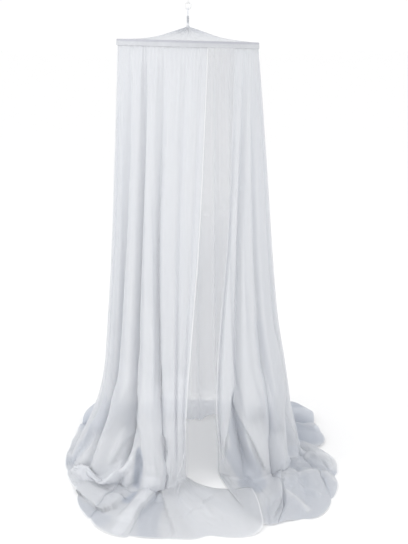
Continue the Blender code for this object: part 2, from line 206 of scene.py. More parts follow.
def arc_map(grid: np.ndarray) -> np.ndarray:
    """Measure along the cloth in both directions.

    Args:
        grid: columns by rows by 3.

    Returns:
        Metres across and metres down for each point.
    """
    across = np.linalg.norm(np.diff(grid, axis=0), axis=2).mean(axis=1)
    down = np.linalg.norm(np.diff(grid, axis=1), axis=2).mean(axis=0)
    u = np.concatenate([[0], np.cumsum(across)])
    v = np.concatenate([[0], np.cumsum(down)])
    return np.stack(np.meshgrid(u, v, indexing="ij"), axis=-1)


def cloth_noise(places: np.ndarray, scale: float, seed: float) -> np.ndarray:
    """Smooth noise from -1 to 1 at 2D or 3D places.

    Args:
        places: array whose last axis holds the coordinates, in metres.
        scale: size of one lump, in metres.
        seed: shifts the pattern.

    Returns:
        One value for each place.
    """
    flat = places.reshape(-1, places.shape[-1]) / scale
    if flat.shape[1] == 2:
        flat = np.column_stack([flat, np.zeros(len(flat))])
    shift = Vector((seed * 7.1, seed * 3.3, seed * 5.7))
    found = [noise.noise(Vector(place) + shift) for place in flat.tolist()]
    return np.array(found).reshape(places.shape[:-1])


def grid_object(name: str, grid: np.ndarray, closed: bool = False) -> bpy.types.Object:
    """Make a smooth mesh object over a grid of points.

    Args:
        name: object and mesh name.
        grid: columns by rows by 3.
        closed: join the last column to the first.

    Returns:
        The new object, linked to the scene, with its weave map.
    """
    columns, rows = grid.shape[:2]
    index = np.arange(columns * rows).reshape(columns, rows)
    following = np.roll(index, -1, axis=0)
    span = columns if closed else columns - 1
    quads = np.stack(
        [index[:span, :-1], following[:span, :-1], following[:span, 1:], index[:span, 1:]],
        axis=-1,
    ).reshape(-1, 4)
    mesh = bpy.data.meshes.new(name)
    mesh.from_pydata(grid.reshape(-1, 3).tolist(), [], quads.tolist())
    whole = np.concatenate([grid, grid[:1]]) if closed else grid
    places = arc_map(whole)
    corner_u = np.stack([index[:span, :-1] // rows] * 4, axis=-1) + np.array([0, 1, 1, 0])
    corner_v = np.stack([index[:span, :-1] % rows] * 4, axis=-1) + np.array([0, 0, 1, 1])
    coordinates = places[corner_u, corner_v].reshape(-1, 2)
    layer = mesh.uv_layers.new(name=WEAVE_MAP)
    layer.data.foreach_set("uv", coordinates.astype(np.float32).ravel())
    mesh.update()
    mesh.shade_smooth()
    made = bpy.data.objects.new(name, mesh)
    bpy.context.scene.collection.objects.link(made)
    return made


def keep_mask(made: bpy.types.Object, mask: Mask, values: np.ndarray) -> None:
    """Store one value at each point of a cloth mesh."""
    layer = made.data.attributes.new(mask.value, "FLOAT", "POINT")
    layer.data.foreach_set("value", np.asarray(values, np.float32).ravel())


def thicken(made: bpy.types.Object, thickness: float) -> None:
    """Give a sheet its thickness, half to each side.

    Args:
        made: the sheet.
        thickness: its whole thickness, in metres.
    """
    shell = made.modifiers.new("Thickness", "SOLIDIFY")
    shell.thickness = thickness
    shell.offset = 0.0


def cloth_area(made: bpy.types.Object) -> float:
    """Area of an object's faces, in square metres."""
    return sum(face.area for face in made.data.polygons)


# --------------------------------------------------------------------------------------
# Shader helpers, node groups and finishes
# --------------------------------------------------------------------------------------


class Graph:
    """Short calls for building a node tree."""

    def __init__(self, tree: bpy.types.NodeTree) -> None:
        """Keep the tree that nodes go into."""
        self.tree = tree

    def add(self, kind: str, **settings: object) -> bpy.types.Node:
        """Add a node and set its properties.

        Args:
            kind: Blender's name of the node type.
            settings: the properties to set.

        Returns:
            The new node.
        """
        node = self.tree.nodes.new(kind)
        for key, value in settings.items():
            setattr(node, key, value)
        return node

    def link(self, source: Socket, target: Socket) -> None:
        """Join two sockets."""
        self.tree.links.new(source, target)

    def group(self, tree: bpy.types.NodeTree, **values: float) -> bpy.types.Node:
        """Place a node group with its own values.

        Args:
            tree: the group.
            values: value of each input, its name written with _ for a space.

        Returns:
            The group's node.
        """
        node = self.add("ShaderNodeGroup", node_tree=tree)
        for name, value in values.items():
            node.inputs[name.replace("_", " ").title()].default_value = value
        return node

    def mask(self, mask: Mask) -> Socket:
        """Read a mask that is kept at the cloth's points."""
        return self.add("ShaderNodeAttribute", attribute_name=mask.value).outputs["Fac"]

    def bump(self, shader: bpy.types.Node, height: Socket, strength: float, distance: float) -> None:
        """Raise a surface by bump.

        Args:
            shader: the shader whose Normal it feeds.
            height: the socket that gives the height.
            strength: share of the effect.
            distance: height of the relief, in metres.
        """
        node = self.add("ShaderNodeBump")
        node.inputs["Strength"].default_value = strength
        node.inputs["Distance"].default_value = distance
        self.link(height, node.inputs["Height"])
        self.link(node.outputs["Normal"], shader.inputs["Normal"])

    def math(self, operation: str, first: object, second: object = None) -> Socket:
        """Add a math node.

        Args:
            operation: Blender's name of the operation.
            first: a socket or a number.
            second: a socket or a number, if the operation takes one.

        Returns:
            The node's output socket.
        """
        node = self.add("ShaderNodeMath", operation=operation)
        for socket, value in zip(node.inputs, (first, second)):
            if isinstance(value, Socket):
                self.link(value, socket)
            elif value is not None:
                socket.default_value = value
        return node.outputs[0]

    def ramp(
        self,
        value: Socket,
        low: float,
        high: float,
        to_low: float = 0.0,
        to_high: float = 1.0,
    ) -> Socket:
        """Map a value smoothly from one range to another.

        Args:
            value: the socket to map.
            low: start of its range.
            high: end of its range.
            to_low: result at low.
            to_high: result at high.

        Returns:
            The mapped value's socket.
        """
        node = self.add("ShaderNodeMapRange", interpolation_type="SMOOTHSTEP")
        self.link(value, node.inputs["Value"])
        for name, number in zip(
            ("From Min", "From Max", "To Min", "To Max"), (low, high, to_low, to_high)
        ):
            node.inputs[name].default_value = number
        return node.outputs["Result"]

    def mix(self, share: object, first: object, second: object) -> Socket:
        """Mix two colours.

        Args:
            share: a socket or a number, 0 for the first colour and 1 for the second.
            first: a socket or a colour.
            second: a socket or a colour.

        Returns:
            The mixed colour's socket.
        """
        node = self.add("ShaderNodeMix", data_type="RGBA")
        colours = [socket for socket in node.inputs if socket.type == "RGBA"]
        for socket, value in zip((node.inputs["Factor"], *colours), (share, first, second)):
            if isinstance(value, Socket):
                self.link(value, socket)
            elif isinstance(value, tuple):
                socket.default_value = (*value, 1.0)
            else:
                socket.default_value = value
        return next(out for out in node.outputs if out.type == "RGBA")


def new_group(
    name: str, inputs: Sequence[tuple[str, str, float]], outputs: Sequence[tuple[str, str]]
) -> tuple[Graph, bpy.types.Node, bpy.types.Node]:
    """Start a shader node group.

    Args:
        name: the group's name.
        inputs: name, socket type and default of each input.
        outputs: name and socket type of each output.

    Returns:
        The group's graph, its input node and its output node.
    """
    tree = bpy.data.node_groups.new(name, "ShaderNodeTree")
    for label, kind, value in inputs:
        socket = tree.interface.new_socket(label, in_out="INPUT", socket_type=kind)
        if kind == "NodeSocketFloat":
            socket.default_value = value
    for label, kind in outputs:
        tree.interface.new_socket(label, in_out="OUTPUT", socket_type=kind)
    graph = Graph(tree)
    return graph, graph.add("NodeGroupInput"), graph.add("NodeGroupOutput")


THREAD_ROUND = Ramp(1.0, 0.2)  # height across a thread, in shares of its half width


def weave_group() -> bpy.types.NodeTree:
    """Make the crossed threads' group: how much thread is at a place, and its height.

    Returns:
        The group's tree.
    """
    graph, given, result = new_group(
        "crossed_threads",
        [
            ("Place", "NodeSocketVector", 0.0),
            ("Pitch", "NodeSocketFloat", 0.002),
            ("Thread Width", "NodeSocketFloat", 0.3),
        ],
        [("Thread", "NodeSocketFloat"), ("Height", "NodeSocketFloat")],
    )
    split = graph.add("ShaderNodeSeparateXYZ")
    graph.link(given.outputs["Place"], split.inputs[0])
    sets = []
    for axis in ("X", "Y"):
        phase = graph.math("DIVIDE", split.outputs[axis], given.outputs["Pitch"])
        away = graph.math("PINGPONG", phase, 0.5)
        share = graph.math("DIVIDE", away, given.outputs["Thread Width"])
        sets.append(graph.ramp(share, *THREAD_ROUND))
    graph.link(graph.math("MAXIMUM", *sets), result.inputs["Thread"])
    graph.link(graph.math("ADD", *sets), result.inputs["Height"])
    return graph.tree


def grain_group() -> bpy.types.NodeTree:
    """Make the group of slow uneven tone and fine surface grain, both round 0.5.

    Returns:
        The group's tree.
    """
    graph, given, result = new_group(
        "uneven_tone",
        [("Patch Scale", "NodeSocketFloat", 6.0), ("Grain Scale", "NodeSocketFloat", 400.0)],
        [("Patch", "NodeSocketFloat"), ("Grain", "NodeSocketFloat")],
    )
    place = graph.add("ShaderNodeTexCoord")
    for scale, detail, name in (("Patch Scale", 3.0, "Patch"), ("Grain Scale", 2.0, "Grain")):
        cloud = graph.add("ShaderNodeTexNoise")
        cloud.inputs["Detail"].default_value = detail
        graph.link(place.outputs["Object"], cloud.inputs["Vector"])
        graph.link(given.outputs[scale], cloud.inputs["Scale"])
        graph.link(cloud.outputs["Fac"], result.inputs[name])
    return graph.tree


@dataclass(frozen=True)
class Groups:
    """The node groups shared by the finishes."""

    weave: bpy.types.NodeTree
    grain: bpy.types.NodeTree

    @staticmethod
    def make() -> "Groups":
        """Build each group once."""
        return Groups(weave_group(), grain_group())


def start_material(name: str) -> tuple[bpy.types.Material, Graph, bpy.types.Node]:
    """Start a node material.

    Args:
        name: the material's name.

    Returns:
        The material, its graph and its Principled shader.
    """
    made = bpy.data.materials.new(name)
    made.use_nodes = True
    return made, Graph(made.node_tree), made.node_tree.nodes["Principled BSDF"]


@dataclass(frozen=True)
class NetFinish:
    """Fine sheer net, denser at its hems and where it is gathered, with painted shade in its valleys
    and hollows and painted highlights along some ridges.
    """

    name: str
    colour: Colour = (0.70, 0.716, 0.748)
    # shade: tone of the random patches, and the painted shade in fold valleys
    shade: Colour = (0.60, 0.625, 0.675)
    # doubled: lighter tone of doubled net, also the painted highlights on ridges and painted light
    # on the back
    doubled_and_lit: Colour = (0.80, 0.818, 0.858)
    # single: painted shade in hollows and a painted darker tone on lobes and flaps
    single_and_shaded: Colour = (0.44, 0.475, 0.545)
    hem_colour: Colour = (0.86, 0.87, 0.89)
    pitch: float = 0.0022
    thread_width: float = 0.34
    hole_alpha: float = 0.35
    thread_alpha: float = 0.80
    gather_alpha: float = 0.12
    hem_alpha: float = 0.16
    painted_shade_alpha: float = 0.20
    lightened_alpha: float = 0.30
    light_stop: float = 0.05
    patch_scale: float = 5.0
    patch_range: Ramp = Ramp(0.35, 0.65)
    patch_shade: float = 0.15
    gather_shade: float = 0.45
    grain_range: Ramp = Ramp(0.3, 0.7)
    roughness: tuple[float, float] = (0.72, 0.9)
    relief: tuple[float, float] = (0.25, 0.0004)
    specular: float = 0.2
    sheen: float = 0.35
    sheen_roughness: float = 0.4

    def base_colour(
        self, graph: Graph, patch: Socket, gather_and_shade: Socket, layer: Socket, below: Socket
    ) -> Socket:
        """Colour the cloth by its patches, its painted shade, and its layers with their painted
        highlights.

        Args:
            graph: the material's graph.
            patch: the slow uneven tone.
            gather_and_shade: how far the cloth is gathered, with painted shade in fold valleys and a
                painted darker tone on lobes.
            layer: the tone of its layers, with painted highlights and painted light above 0 and
                painted shade below.
            below: how far that tone is below 0.

        Returns:
            The colour's socket.
        """
        uneven = graph.ramp(patch, *self.patch_range)
        # painted shade: darker in the fold valleys and on the lobes near the floor
        painted_shade = graph.math("MULTIPLY", gather_and_shade, self.gather_shade)
        shaded = graph.math("MAXIMUM", graph.math("MULTIPLY", uneven, self.patch_shade), painted_shade)
        cloth = graph.mix(shaded, self.colour, self.shade)
        # lighter where net is doubled, and painted highlights and painted light on the back
        cloth = graph.mix(graph.math("MAXIMUM", layer, 0.0), cloth, self.doubled_and_lit)
        # painted shade in hollows and a painted darker tone on lobes and flaps
        return graph.mix(below, cloth, self.single_and_shaded)

    def see_through(
        self, graph: Graph, thread: Socket, gather_and_shade: Socket, hem: Socket, layer: Socket,
        below: Socket,
    ) -> Socket:
        """Work out how far the cloth hides what is behind it.

        Args:
            graph: the material's graph.
            thread: how much thread is at a place.
            gather_and_shade: how far the cloth is gathered; the same mask paints shade into the
                colour.
            hem: where a hem lies.
            layer: the tone of its layers and painted light; above 1 the back's painted light makes
                it more see-through.
            below: how far that tone is below 0, where shade is painted and the net is made more
                opaque.

        Returns:
            The alpha's socket, from 0 to 1.
        """
        open_part = graph.math("SUBTRACT", self.thread_alpha, self.hole_alpha)
        alpha = graph.math("MULTIPLY", thread, open_part)
        alpha = graph.math("ADD", alpha, self.hole_alpha)
        for mask, share in (
            (gather_and_shade, self.gather_alpha), (hem, self.hem_alpha), (below, self.painted_shade_alpha)
        ):
            alpha = graph.math("ADD", alpha, graph.math("MULTIPLY", mask, share))
        # above 1 the back is made more see-through, part of its painted light
        lightened = graph.math("MAXIMUM", graph.math("SUBTRACT", layer, 1.0), 0.0)
        thinned = graph.math("MULTIPLY", lightened, self.lightened_alpha)
        alpha = graph.math("SUBTRACT", alpha, thinned)
        path = graph.add("ShaderNodeLightPath")
        unseen = graph.math("SUBTRACT", 1.0, path.outputs["Is Camera Ray"])
        alpha = graph.math("ADD", alpha, graph.math("MULTIPLY", unseen, self.light_stop))
        return graph.math("MAXIMUM", graph.math("MINIMUM", alpha, 1.0), 0.0)

    def build(self, groups: Groups) -> bpy.types.Material:
        """Make the material.

        Args:
            groups: the shared node groups.

        Returns:
            The material, whose Alpha follows the threads.
        """
        made, graph, shader = start_material(self.name)
        place = graph.add("ShaderNodeUVMap", uv_map=WEAVE_MAP)
        weave = graph.group(groups.weave, pitch=self.pitch, thread_width=self.thread_width)
        graph.link(place.outputs["UV"], weave.inputs["Place"])
        tone = graph.group(groups.grain, patch_scale=self.patch_scale)
        hem, gather_and_shade, layer = (graph.mask(mask) for mask in (Mask.HEM, Mask.GATHER_AND_SHADE, Mask.LAYER_AND_PAINTED_LIGHT))
        below = graph.math("MAXIMUM", graph.math("MULTIPLY", layer, -1.0), 0.0)
        cloth = self.base_colour(graph, tone.outputs["Patch"], gather_and_shade, layer, below)
        graph.link(graph.mix(hem, cloth, self.hem_colour), shader.inputs["Base Color"])
        thread = weave.outputs["Thread"]
        alpha = self.see_through(graph, thread, gather_and_shade, hem, layer, below)
        graph.link(alpha, shader.inputs["Alpha"])
        rough = graph.ramp(tone.outputs["Grain"], *self.grain_range, *self.roughness)
        graph.link(rough, shader.inputs["Roughness"])
        graph.bump(shader, weave.outputs["Height"], *self.relief)
        shader.inputs["Specular IOR Level"].default_value = self.specular
        shader.inputs["Sheen Weight"].default_value = self.sheen
        shader.inputs["Sheen Roughness"].default_value = self.sheen_roughness
        return made


@dataclass(frozen=True)
class BindingFinish:
    """Closely woven white tape with rows of stitches and, where set, a painted shade band over the
    hoop.
    """

    name: str
    colour: Colour = (0.80, 0.82, 0.86)
    thread_colour: Colour = (0.93, 0.93, 0.95)
    pitch: float = 0.0009
    thread_width: float = 0.46
    thread_share: float = 0.25
    stitch_rows: tuple[float, ...] = ()
    stitch_length: float = 0.0042
    stitch_width: float = 0.0011
    stitch_ends: Ramp = Ramp(0.36, 0.30)
    stitch_height: float = 3.0
    alpha: float = 1.0
    hole_alpha: float = 0.12
    # painted shade band where the cloth lies over the hoop, its colour and share
    hoop_shade_band: tuple[float, float] | None = None
    hoop_shade_colour: Colour = (0.46, 0.46, 0.54)
    hoop_shade_share: float = 0.45
    patch_scale: float = 14.0
    patch_range: Ramp = Ramp(0.3, 0.7)
    patch_share: float = 0.5
    patch_dim: float = 0.86
    grain_range: Ramp = Ramp(0.3, 0.7)
    roughness: tuple[float, float] = (0.7, 0.88)
    relief: tuple[float, float] = (0.4, 0.0003)
    specular: float = 0.25
    sheen: float = 0.15

    def stitches(self, graph: Graph, along: Socket, down: Socket) -> Socket | None:
        """Find where the stitches lie.

        Args:
            graph: the material's graph.
            along: metres along the band.
            down: metres across the band.

        Returns:
            The stitches' socket, from 0 to 1, or None without a row.
        """
        if not self.stitch_rows:
            return None
        dash = graph.math("PINGPONG", graph.math("DIVIDE", along, self.stitch_length), 0.5)
        dash = graph.ramp(dash, *self.stitch_ends)
        found = None
        for row in self.stitch_rows:
            away = graph.math("ABSOLUTE", graph.math("SUBTRACT", down, row))
            line = graph.ramp(away, self.stitch_width / 2, self.stitch_width / 4)
            line = graph.math("MULTIPLY", line, dash)
            found = line if found is None else graph.math("MAXIMUM", found, line)
        return found

    def build(self, groups: Groups) -> bpy.types.Material:
        """Make the material.

        Args:
            groups: the shared node groups.

        Returns:
            The material, with its weave and stitches in colour and height.
        """
        made, graph, shader = start_material(self.name)
        place = graph.add("ShaderNodeUVMap", uv_map=WEAVE_MAP)
        weave = graph.group(groups.weave, pitch=self.pitch, thread_width=self.thread_width)
        graph.link(place.outputs["UV"], weave.inputs["Place"])
        tone = graph.group(groups.grain, patch_scale=self.patch_scale)
        split = graph.add("ShaderNodeSeparateXYZ")
        graph.link(place.outputs["UV"], split.inputs[0])
        thread, height = weave.outputs["Thread"], weave.outputs["Height"]

        shade = tuple(self.patch_dim * part for part in self.colour)
        uneven = graph.ramp(tone.outputs["Patch"], *self.patch_range)
        cloth = graph.mix(graph.math("MULTIPLY", uneven, self.patch_share), self.colour, shade)
        woven = graph.math("MULTIPLY", thread, self.thread_share)
        cloth = graph.mix(woven, cloth, self.thread_colour)
        # painted shade where the band lies over the hoop
        if self.hoop_shade_band is not None:
            low, high = self.hoop_shade_band
            away = graph.math("SUBTRACT", split.outputs["Y"], (low + high) / 2)
            dark = graph.ramp(graph.math("ABSOLUTE", away), (high - low) / 2, (high - low) / 4)
            cloth = graph.mix(graph.math("MULTIPLY", dark, self.hoop_shade_share), cloth, self.hoop_shade_colour)
        stitches = self.stitches(graph, split.outputs["X"], split.outputs["Y"])
        if stitches is not None:
            cloth = graph.mix(stitches, cloth, self.thread_colour)
            raised = graph.math("MULTIPLY", stitches, self.stitch_height)
            height = graph.math("ADD", height, raised)
        graph.link(cloth, shader.inputs["Base Color"])
        if self.alpha < 1:
            see = graph.ramp(thread, 0.0, 1.0, self.alpha - self.hole_alpha, self.alpha)
            graph.link(see, shader.inputs["Alpha"])
        rough = graph.ramp(tone.outputs["Grain"], *self.grain_range, *self.roughness)
        graph.link(rough, shader.inputs["Roughness"])
        graph.bump(shader, height, *self.relief)
        shader.inputs["Specular IOR Level"].default_value = self.specular
        shader.inputs["Sheen Weight"].default_value = self.sheen
        return made


@dataclass(frozen=True)
class HardFinish:
    """Moulded plastic or enamelled metal with fine scuffs."""

    name: str
    colour: Colour
    scuffed: Colour
    gloss: float
    dull: float
    metallic: float = 0.0
    coat: float = 0.0
    patch_scale: float = 30.0
    grain_scale: float = 900.0
    worn_range: Ramp = Ramp(0.45, 0.75)
    dull_range: Ramp = Ramp(0.35, 0.7)
    relief: tuple[float, float] = (0.12, 0.0002)

    def build(self, groups: Groups) -> bpy.types.Material:
        """Make the material.

        Args:
            groups: the shared node groups.

        Returns:
            The material, uneven in tone and gloss.
        """
        made, graph, shader = start_material(self.name)
        tone = graph.group(
            groups.grain, patch_scale=self.patch_scale, grain_scale=self.grain_scale
        )
        worn = graph.ramp(tone.outputs["Patch"], *self.worn_range)
        graph.link(graph.mix(worn, self.colour, self.scuffed), shader.inputs["Base Color"])
        rough = graph.ramp(tone.outputs["Patch"], *self.dull_range, self.gloss, self.dull)
        graph.link(rough, shader.inputs["Roughness"])
        graph.bump(shader, tone.outputs["Grain"], *self.relief)
        shader.inputs["Metallic"].default_value = self.metallic
        shader.inputs["Coat Weight"].default_value = self.coat
        return made


# --------------------------------------------------------------------------------------
# Net panels
# --------------------------------------------------------------------------------------


class Section(NamedTuple):
    """A level of the wall: its radius on four sides and how much fold depth shows."""

    height: float
    front: float
    left: float
    back: float
    right: float
    depth: float


class Bend(NamedTuple):
    """A level where the wall turns out to the floor."""

    height: float
    outward: float
    depth: float
    rise: float


class Run(NamedTuple):
    """A place along the floor, from the foot to the hem."""

    along: float
    depth: float
    rise: float


class Fold(NamedTuple):
    """One fold's crest.

    hoop to hem are degrees round from the front, and swing bends the way out to the hem.
    foot_r and reach are metres from the middle, and tuck draws the valley's hem in.
    depth and rise are its height on the wall and on the floor, and lift raises it all.
    pinch and lean narrow the valley and tip it over.
    """

    hoop: float
    waist: float
    knee: float
    foot: float
    hem: float
    swing: float
    foot_r: float
    reach: float
    depth: float
    rise: float
    tuck: float
    lift: float
    pinch: float
    lean: float


class Crease(NamedTuple):
    """A soft ridge, or a trough if height is negative, along a path on the cloth."""

    height: float
    width: float
    path: tuple[Place, ...]


class Edge(NamedTuple):
    """A crisp edge along a path: cloth stands up on one side and laps over the other.

    side is 1 if the raised cloth is to the right of a path that runs down the front.
    """

    side: int
    height: float
    sink: float
    width: float
    lap: float
    path: tuple[Place, ...]


class LayerAndLightBand(NamedTuple):
    """A band along a path with its own tone: above 0 lighter, for net in two layers and for painted
    highlights; below 0 painted shade and a painted darker tone.
    """

    tone: float
    width: float
    soft: float
    path: tuple[Place, ...]


class Nearest(NamedTuple):
    """The nearest place of a path for each of some points."""

    away: np.ndarray
    along: np.ndarray
    place: np.ndarray
    heading: np.ndarray


SECTIONS = (
    Section(2.1155, 0.325, 0.325, 0.325, 0.325, 0.05),
    Section(2.090, 0.325, 0.325, 0.325, 0.3255, 0.06),
    Section(1.950, 0.329, 0.329, 0.327, 0.334, 0.28),
    Section(1.600, 0.342, 0.346, 0.331, 0.362, 0.50),
    Section(1.200, 0.356, 0.368, 0.336, 0.392, 0.65),
    Section(0.800, 0.366, 0.396, 0.342, 0.428, 0.85),
    Section(0.450, 0.372, 0.430, 0.348, 0.485, 1.00),
)
WAIST_HEIGHT = 1.2  # level of the folds' waist angles
BENDS = (
    Bend(0.290, 0.24, 0.98, 0.05),
    Bend(0.155, 0.60, 0.88, 0.25),
    Bend(0.055, 0.86, 0.66, 0.65),
)
RUNS = (
    Run(0.00, 0.50, 1.00),
    Run(0.28, 0.38, 1.00),
    Run(0.62, 0.22, 0.75),
    Run(1.00, 0.00, 0.32),
)
FOOT_LEVEL = len(SECTIONS) + len(BENDS) - 1  # the last bend, counted from the hoop
HEM_LEVEL = FOOT_LEVEL + len(RUNS)
LEFT_FOLDS = (
    Fold(-17, -8.3, 1, 4, -39, 0, 0.245, 0.490, 0.004, 0.003, 0.022, 0, 0.0, 0.0),
    Fold(-7, 1, 6, 9, -21.5, 0, 0.290, 0.815, 0.008, 0.010, 0.030, 0, 0.2, 0.0),
    Fold(7, 12, 12, 14, 3, 0, 0.350, 0.785, 0.014, 0.014, 0.015, 0, 0.4, 0.4),
    Fold(26, 28, 26, 21, 23.5, 2, 0.430, 0.825, 0.042, 0.036, 0.015, 0, 0.5, 0.6),
    Fold(40, 42, 47, 54, 41, -1, 0.520, 0.755, 0.046, 0.022, 0.010, 0, 0.5, 0.4),
    Fold(60, 62, 67, 72, 61, -2, 0.600, 0.665, 0.026, 0.014, 0.006, 0, 0.3, 0.4),
    Fold(77, 79, 85, 88, 83, -2, 0.620, 0.662, 0.018, 0.016, 0.006, 0, 0.4, -0.2),
    Fold(96, 98, 103, 104, 106, 0, 0.590, 0.675, 0.022, 0.025, 0.008, 0, 0.3, 0.3),
    Fold(114, 116, 120, 121, 129, 0, 0.500, 0.760, 0.030, 0.150, 0.040, 0, 0.5, -0.3),
    Fold(132, 134, 137, 138, 144, 0, 0.450, 0.715, 0.024, 0.050, 0.035, 0, 0.3, 0.3),
    Fold(148, 150, 152, 154, 157, 0, 0.410, 0.695, 0.030, 0.045, 0.025, 0, 0.5, 0.2),
    Fold(164, 165, 166, 167, 168, 0, 0.380, 0.680, 0.020, 0.030, 0.012, 0, 0.3, 0.0),
    Fold(180, 180, 180, 180, 180, 0, 0.370, 0.665, 0.000, 0.000, 0.000, 0, 0.0, 0.0),
)
RIGHT_FOLDS = (
    Fold(39.5, 28.5, 19, 35, 26, -4, 0.250, 0.700, 0.006, 0.004, 0.005, 0.005, 0.0, 0.0),
    Fold(46, 33, 25, 40, 27.5, -2, 0.330, 0.765, 0.016, 0.010, 0.005, 0.006, 0.3, 0.2),
    Fold(58, 44, 43, 50, 29.5, 2, 0.440, 0.785, 0.032, 0.026, 0.005, 0.006, 0.5, 0.5),
    Fold(71, 64, 66, 66, 34, 0, 0.520, 0.790, 0.024, 0.040, 0.012, 0.002, 0.4, 0.0),
    Fold(85, 87, 86, 79, 46, 0, 0.565, 0.860, 0.024, 0.036, 0.012, 0, 0.5, 0.4),
    Fold(97, 99, 98, 88, 62, 0, 0.580, 0.820, 0.024, 0.045, 0.015, 0, 0.4, 0.3),
    Fold(109, 110, 109, 97, 78, 0, 0.580, 0.780, 0.020, 0.050, 0.150, 0, 0.3, 0.3),
    Fold(121, 121, 121, 110, 106, 0, 0.550, 0.755, 0.026, 0.060, 0.010, 0, 0.4, -0.3),
    Fold(134, 134, 134, 125, 121, 0, 0.490, 0.810, 0.024, 0.160, 0.060, 0, 0.4, 0.3),
    Fold(149, 149, 149, 144, 142, 0, 0.440, 0.715, 0.030, 0.050, 0.030, 0, 0.5, -0.2),
    Fold(164, 164, 164, 162, 160, 0, 0.390, 0.690, 0.020, 0.030, 0.015, 0, 0.3, 0.2),
    Fold(180, 180, 180, 180, 180, 0, 0.370, 0.665, 0.000, 0.000, 0.000, 0, 0.0, 0.0),
)
HOLLOW_PATH = (  # between the broad fold and the ribbon
    (-0.250, -0.315, 0.42), (-0.270, -0.320, 0.30), (-0.300, -0.325, 0.20),
    (-0.345, -0.325, 0.11), (-0.400, -0.310, 0.05),
)
LEFT_CREASES = (
    # ribbon that runs down beside the front width and out to the left
    Crease(0.026, 0.055, (
        (-0.180, -0.340, 0.60), (-0.180, -0.350, 0.33), (-0.170, -0.370, 0.20),
        (-0.176, -0.390, 0.10), (-0.196, -0.430, 0.03), (-0.222, -0.510, 0.02),
        (-0.262, -0.585, 0.02), (-0.290, -0.670, 0.01),
    )),
    # its turn onto the floor
    Crease(0.016, 0.055, (
        (-0.180, -0.380, 0.16), (-0.190, -0.410, 0.05), (-0.205, -0.460, 0.02),
        (-0.230, -0.530, 0.02),
    )),
    # its raised middle line
    Crease(0.010, 0.014, (
        (-0.173, -0.366, 0.23), (-0.174, -0.384, 0.13), (-0.181, -0.393, 0.08),
        (-0.205, -0.430, 0.03), (-0.242, -0.500, 0.02), (-0.266, -0.611, 0.01),
    )),
    # pocket between the ribbon and the swirl
    Crease(-0.040, 0.034, (
        (-0.243, -0.330, 0.34), (-0.240, -0.346, 0.23), (-0.232, -0.372, 0.14),
        (-0.250, -0.385, 0.06), (-0.272, -0.430, 0.02),
    )),
    Crease(-0.006, 0.050, HOLLOW_PATH),
    # broad fold that narrows to a tip on the floor
    Crease(0.040, 0.060, (
        (-0.290, -0.270, 0.55), (-0.330, -0.270, 0.36), (-0.385, -0.265, 0.24),
        (-0.430, -0.270, 0.13), (-0.455, -0.272, 0.04),
    )),
    # swirl round the tip
    Crease(0.046, 0.036, (
        (-0.250, -0.349, 0.21), (-0.305, -0.345, 0.12), (-0.370, -0.335, 0.05),
        (-0.446, -0.300, 0.01), (-0.520, -0.262, 0.01), (-0.598, -0.170, 0.01),
    )),
    # rounded lobe outside the swirl
    Crease(0.022, 0.080, (
        (-0.330, -0.420, 0.02), (-0.400, -0.455, 0.02), (-0.480, -0.400, 0.02),
        (-0.560, -0.310, 0.02),
    )),
    # cloth bunched up between the folds where they reach the floor
    Crease(0.026, 0.055, (
        (-0.280, -0.350, 0.14), (-0.300, -0.360, 0.09), (-0.330, -0.362, 0.05),
        (-0.380, -0.345, 0.02), (-0.440, -0.320, 0.01),
    )),
    Crease(0.020, 0.050, (
        (-0.455, -0.225, 0.30), (-0.490, -0.238, 0.15), (-0.515, -0.252, 0.06),
        (-0.550, -0.268, 0.02), (-0.610, -0.300, 0.01),
    )),
    Crease(0.024, 0.036, (
        (-0.116, -0.358, 0.18), (-0.118, -0.372, 0.08), (-0.124, -0.398, 0.03),
        (-0.140, -0.450, 0.01), (-0.150, -0.500, 0.01),
    )),
    # dip behind the broad fold
    Crease(-0.022, 0.045, (
        (-0.480, -0.180, 0.22), (-0.520, -0.160, 0.13), (-0.570, -0.120, 0.08),
    )),
    # the front width's right edge, over the other panel
    Crease(0.020, 0.080, (
        (0.270, -0.330, 0.01), (0.295, -0.420, 0.01), (0.310, -0.550, 0.01),
        (0.315, -0.660, 0.01), (0.310, -0.780, 0.01),
    )),
    # folds over the far side
    Crease(0.014, 0.026, ((-0.46, -0.14, 0.30), (-0.53, -0.12, 0.13), (-0.60, -0.10, 0.04))),
    Crease(0.012, 0.022, ((-0.36, -0.46, 0.03), (-0.43, -0.56, 0.02), (-0.47, -0.60, 0.01))),
    Crease(0.008, 0.022, ((-0.12, -0.46, 0.03), (-0.15, -0.58, 0.02), (-0.17, -0.74, 0.01))),
    Crease(0.010, 0.024, ((-0.02, -0.36, 0.03), (0.05, -0.46, 0.02), (0.11, -0.62, 0.01))),
    Crease(-0.008, 0.022, ((0.03, -0.38, 0.02), (0.12, -0.52, 0.02), (0.20, -0.70, 0.01))),
)
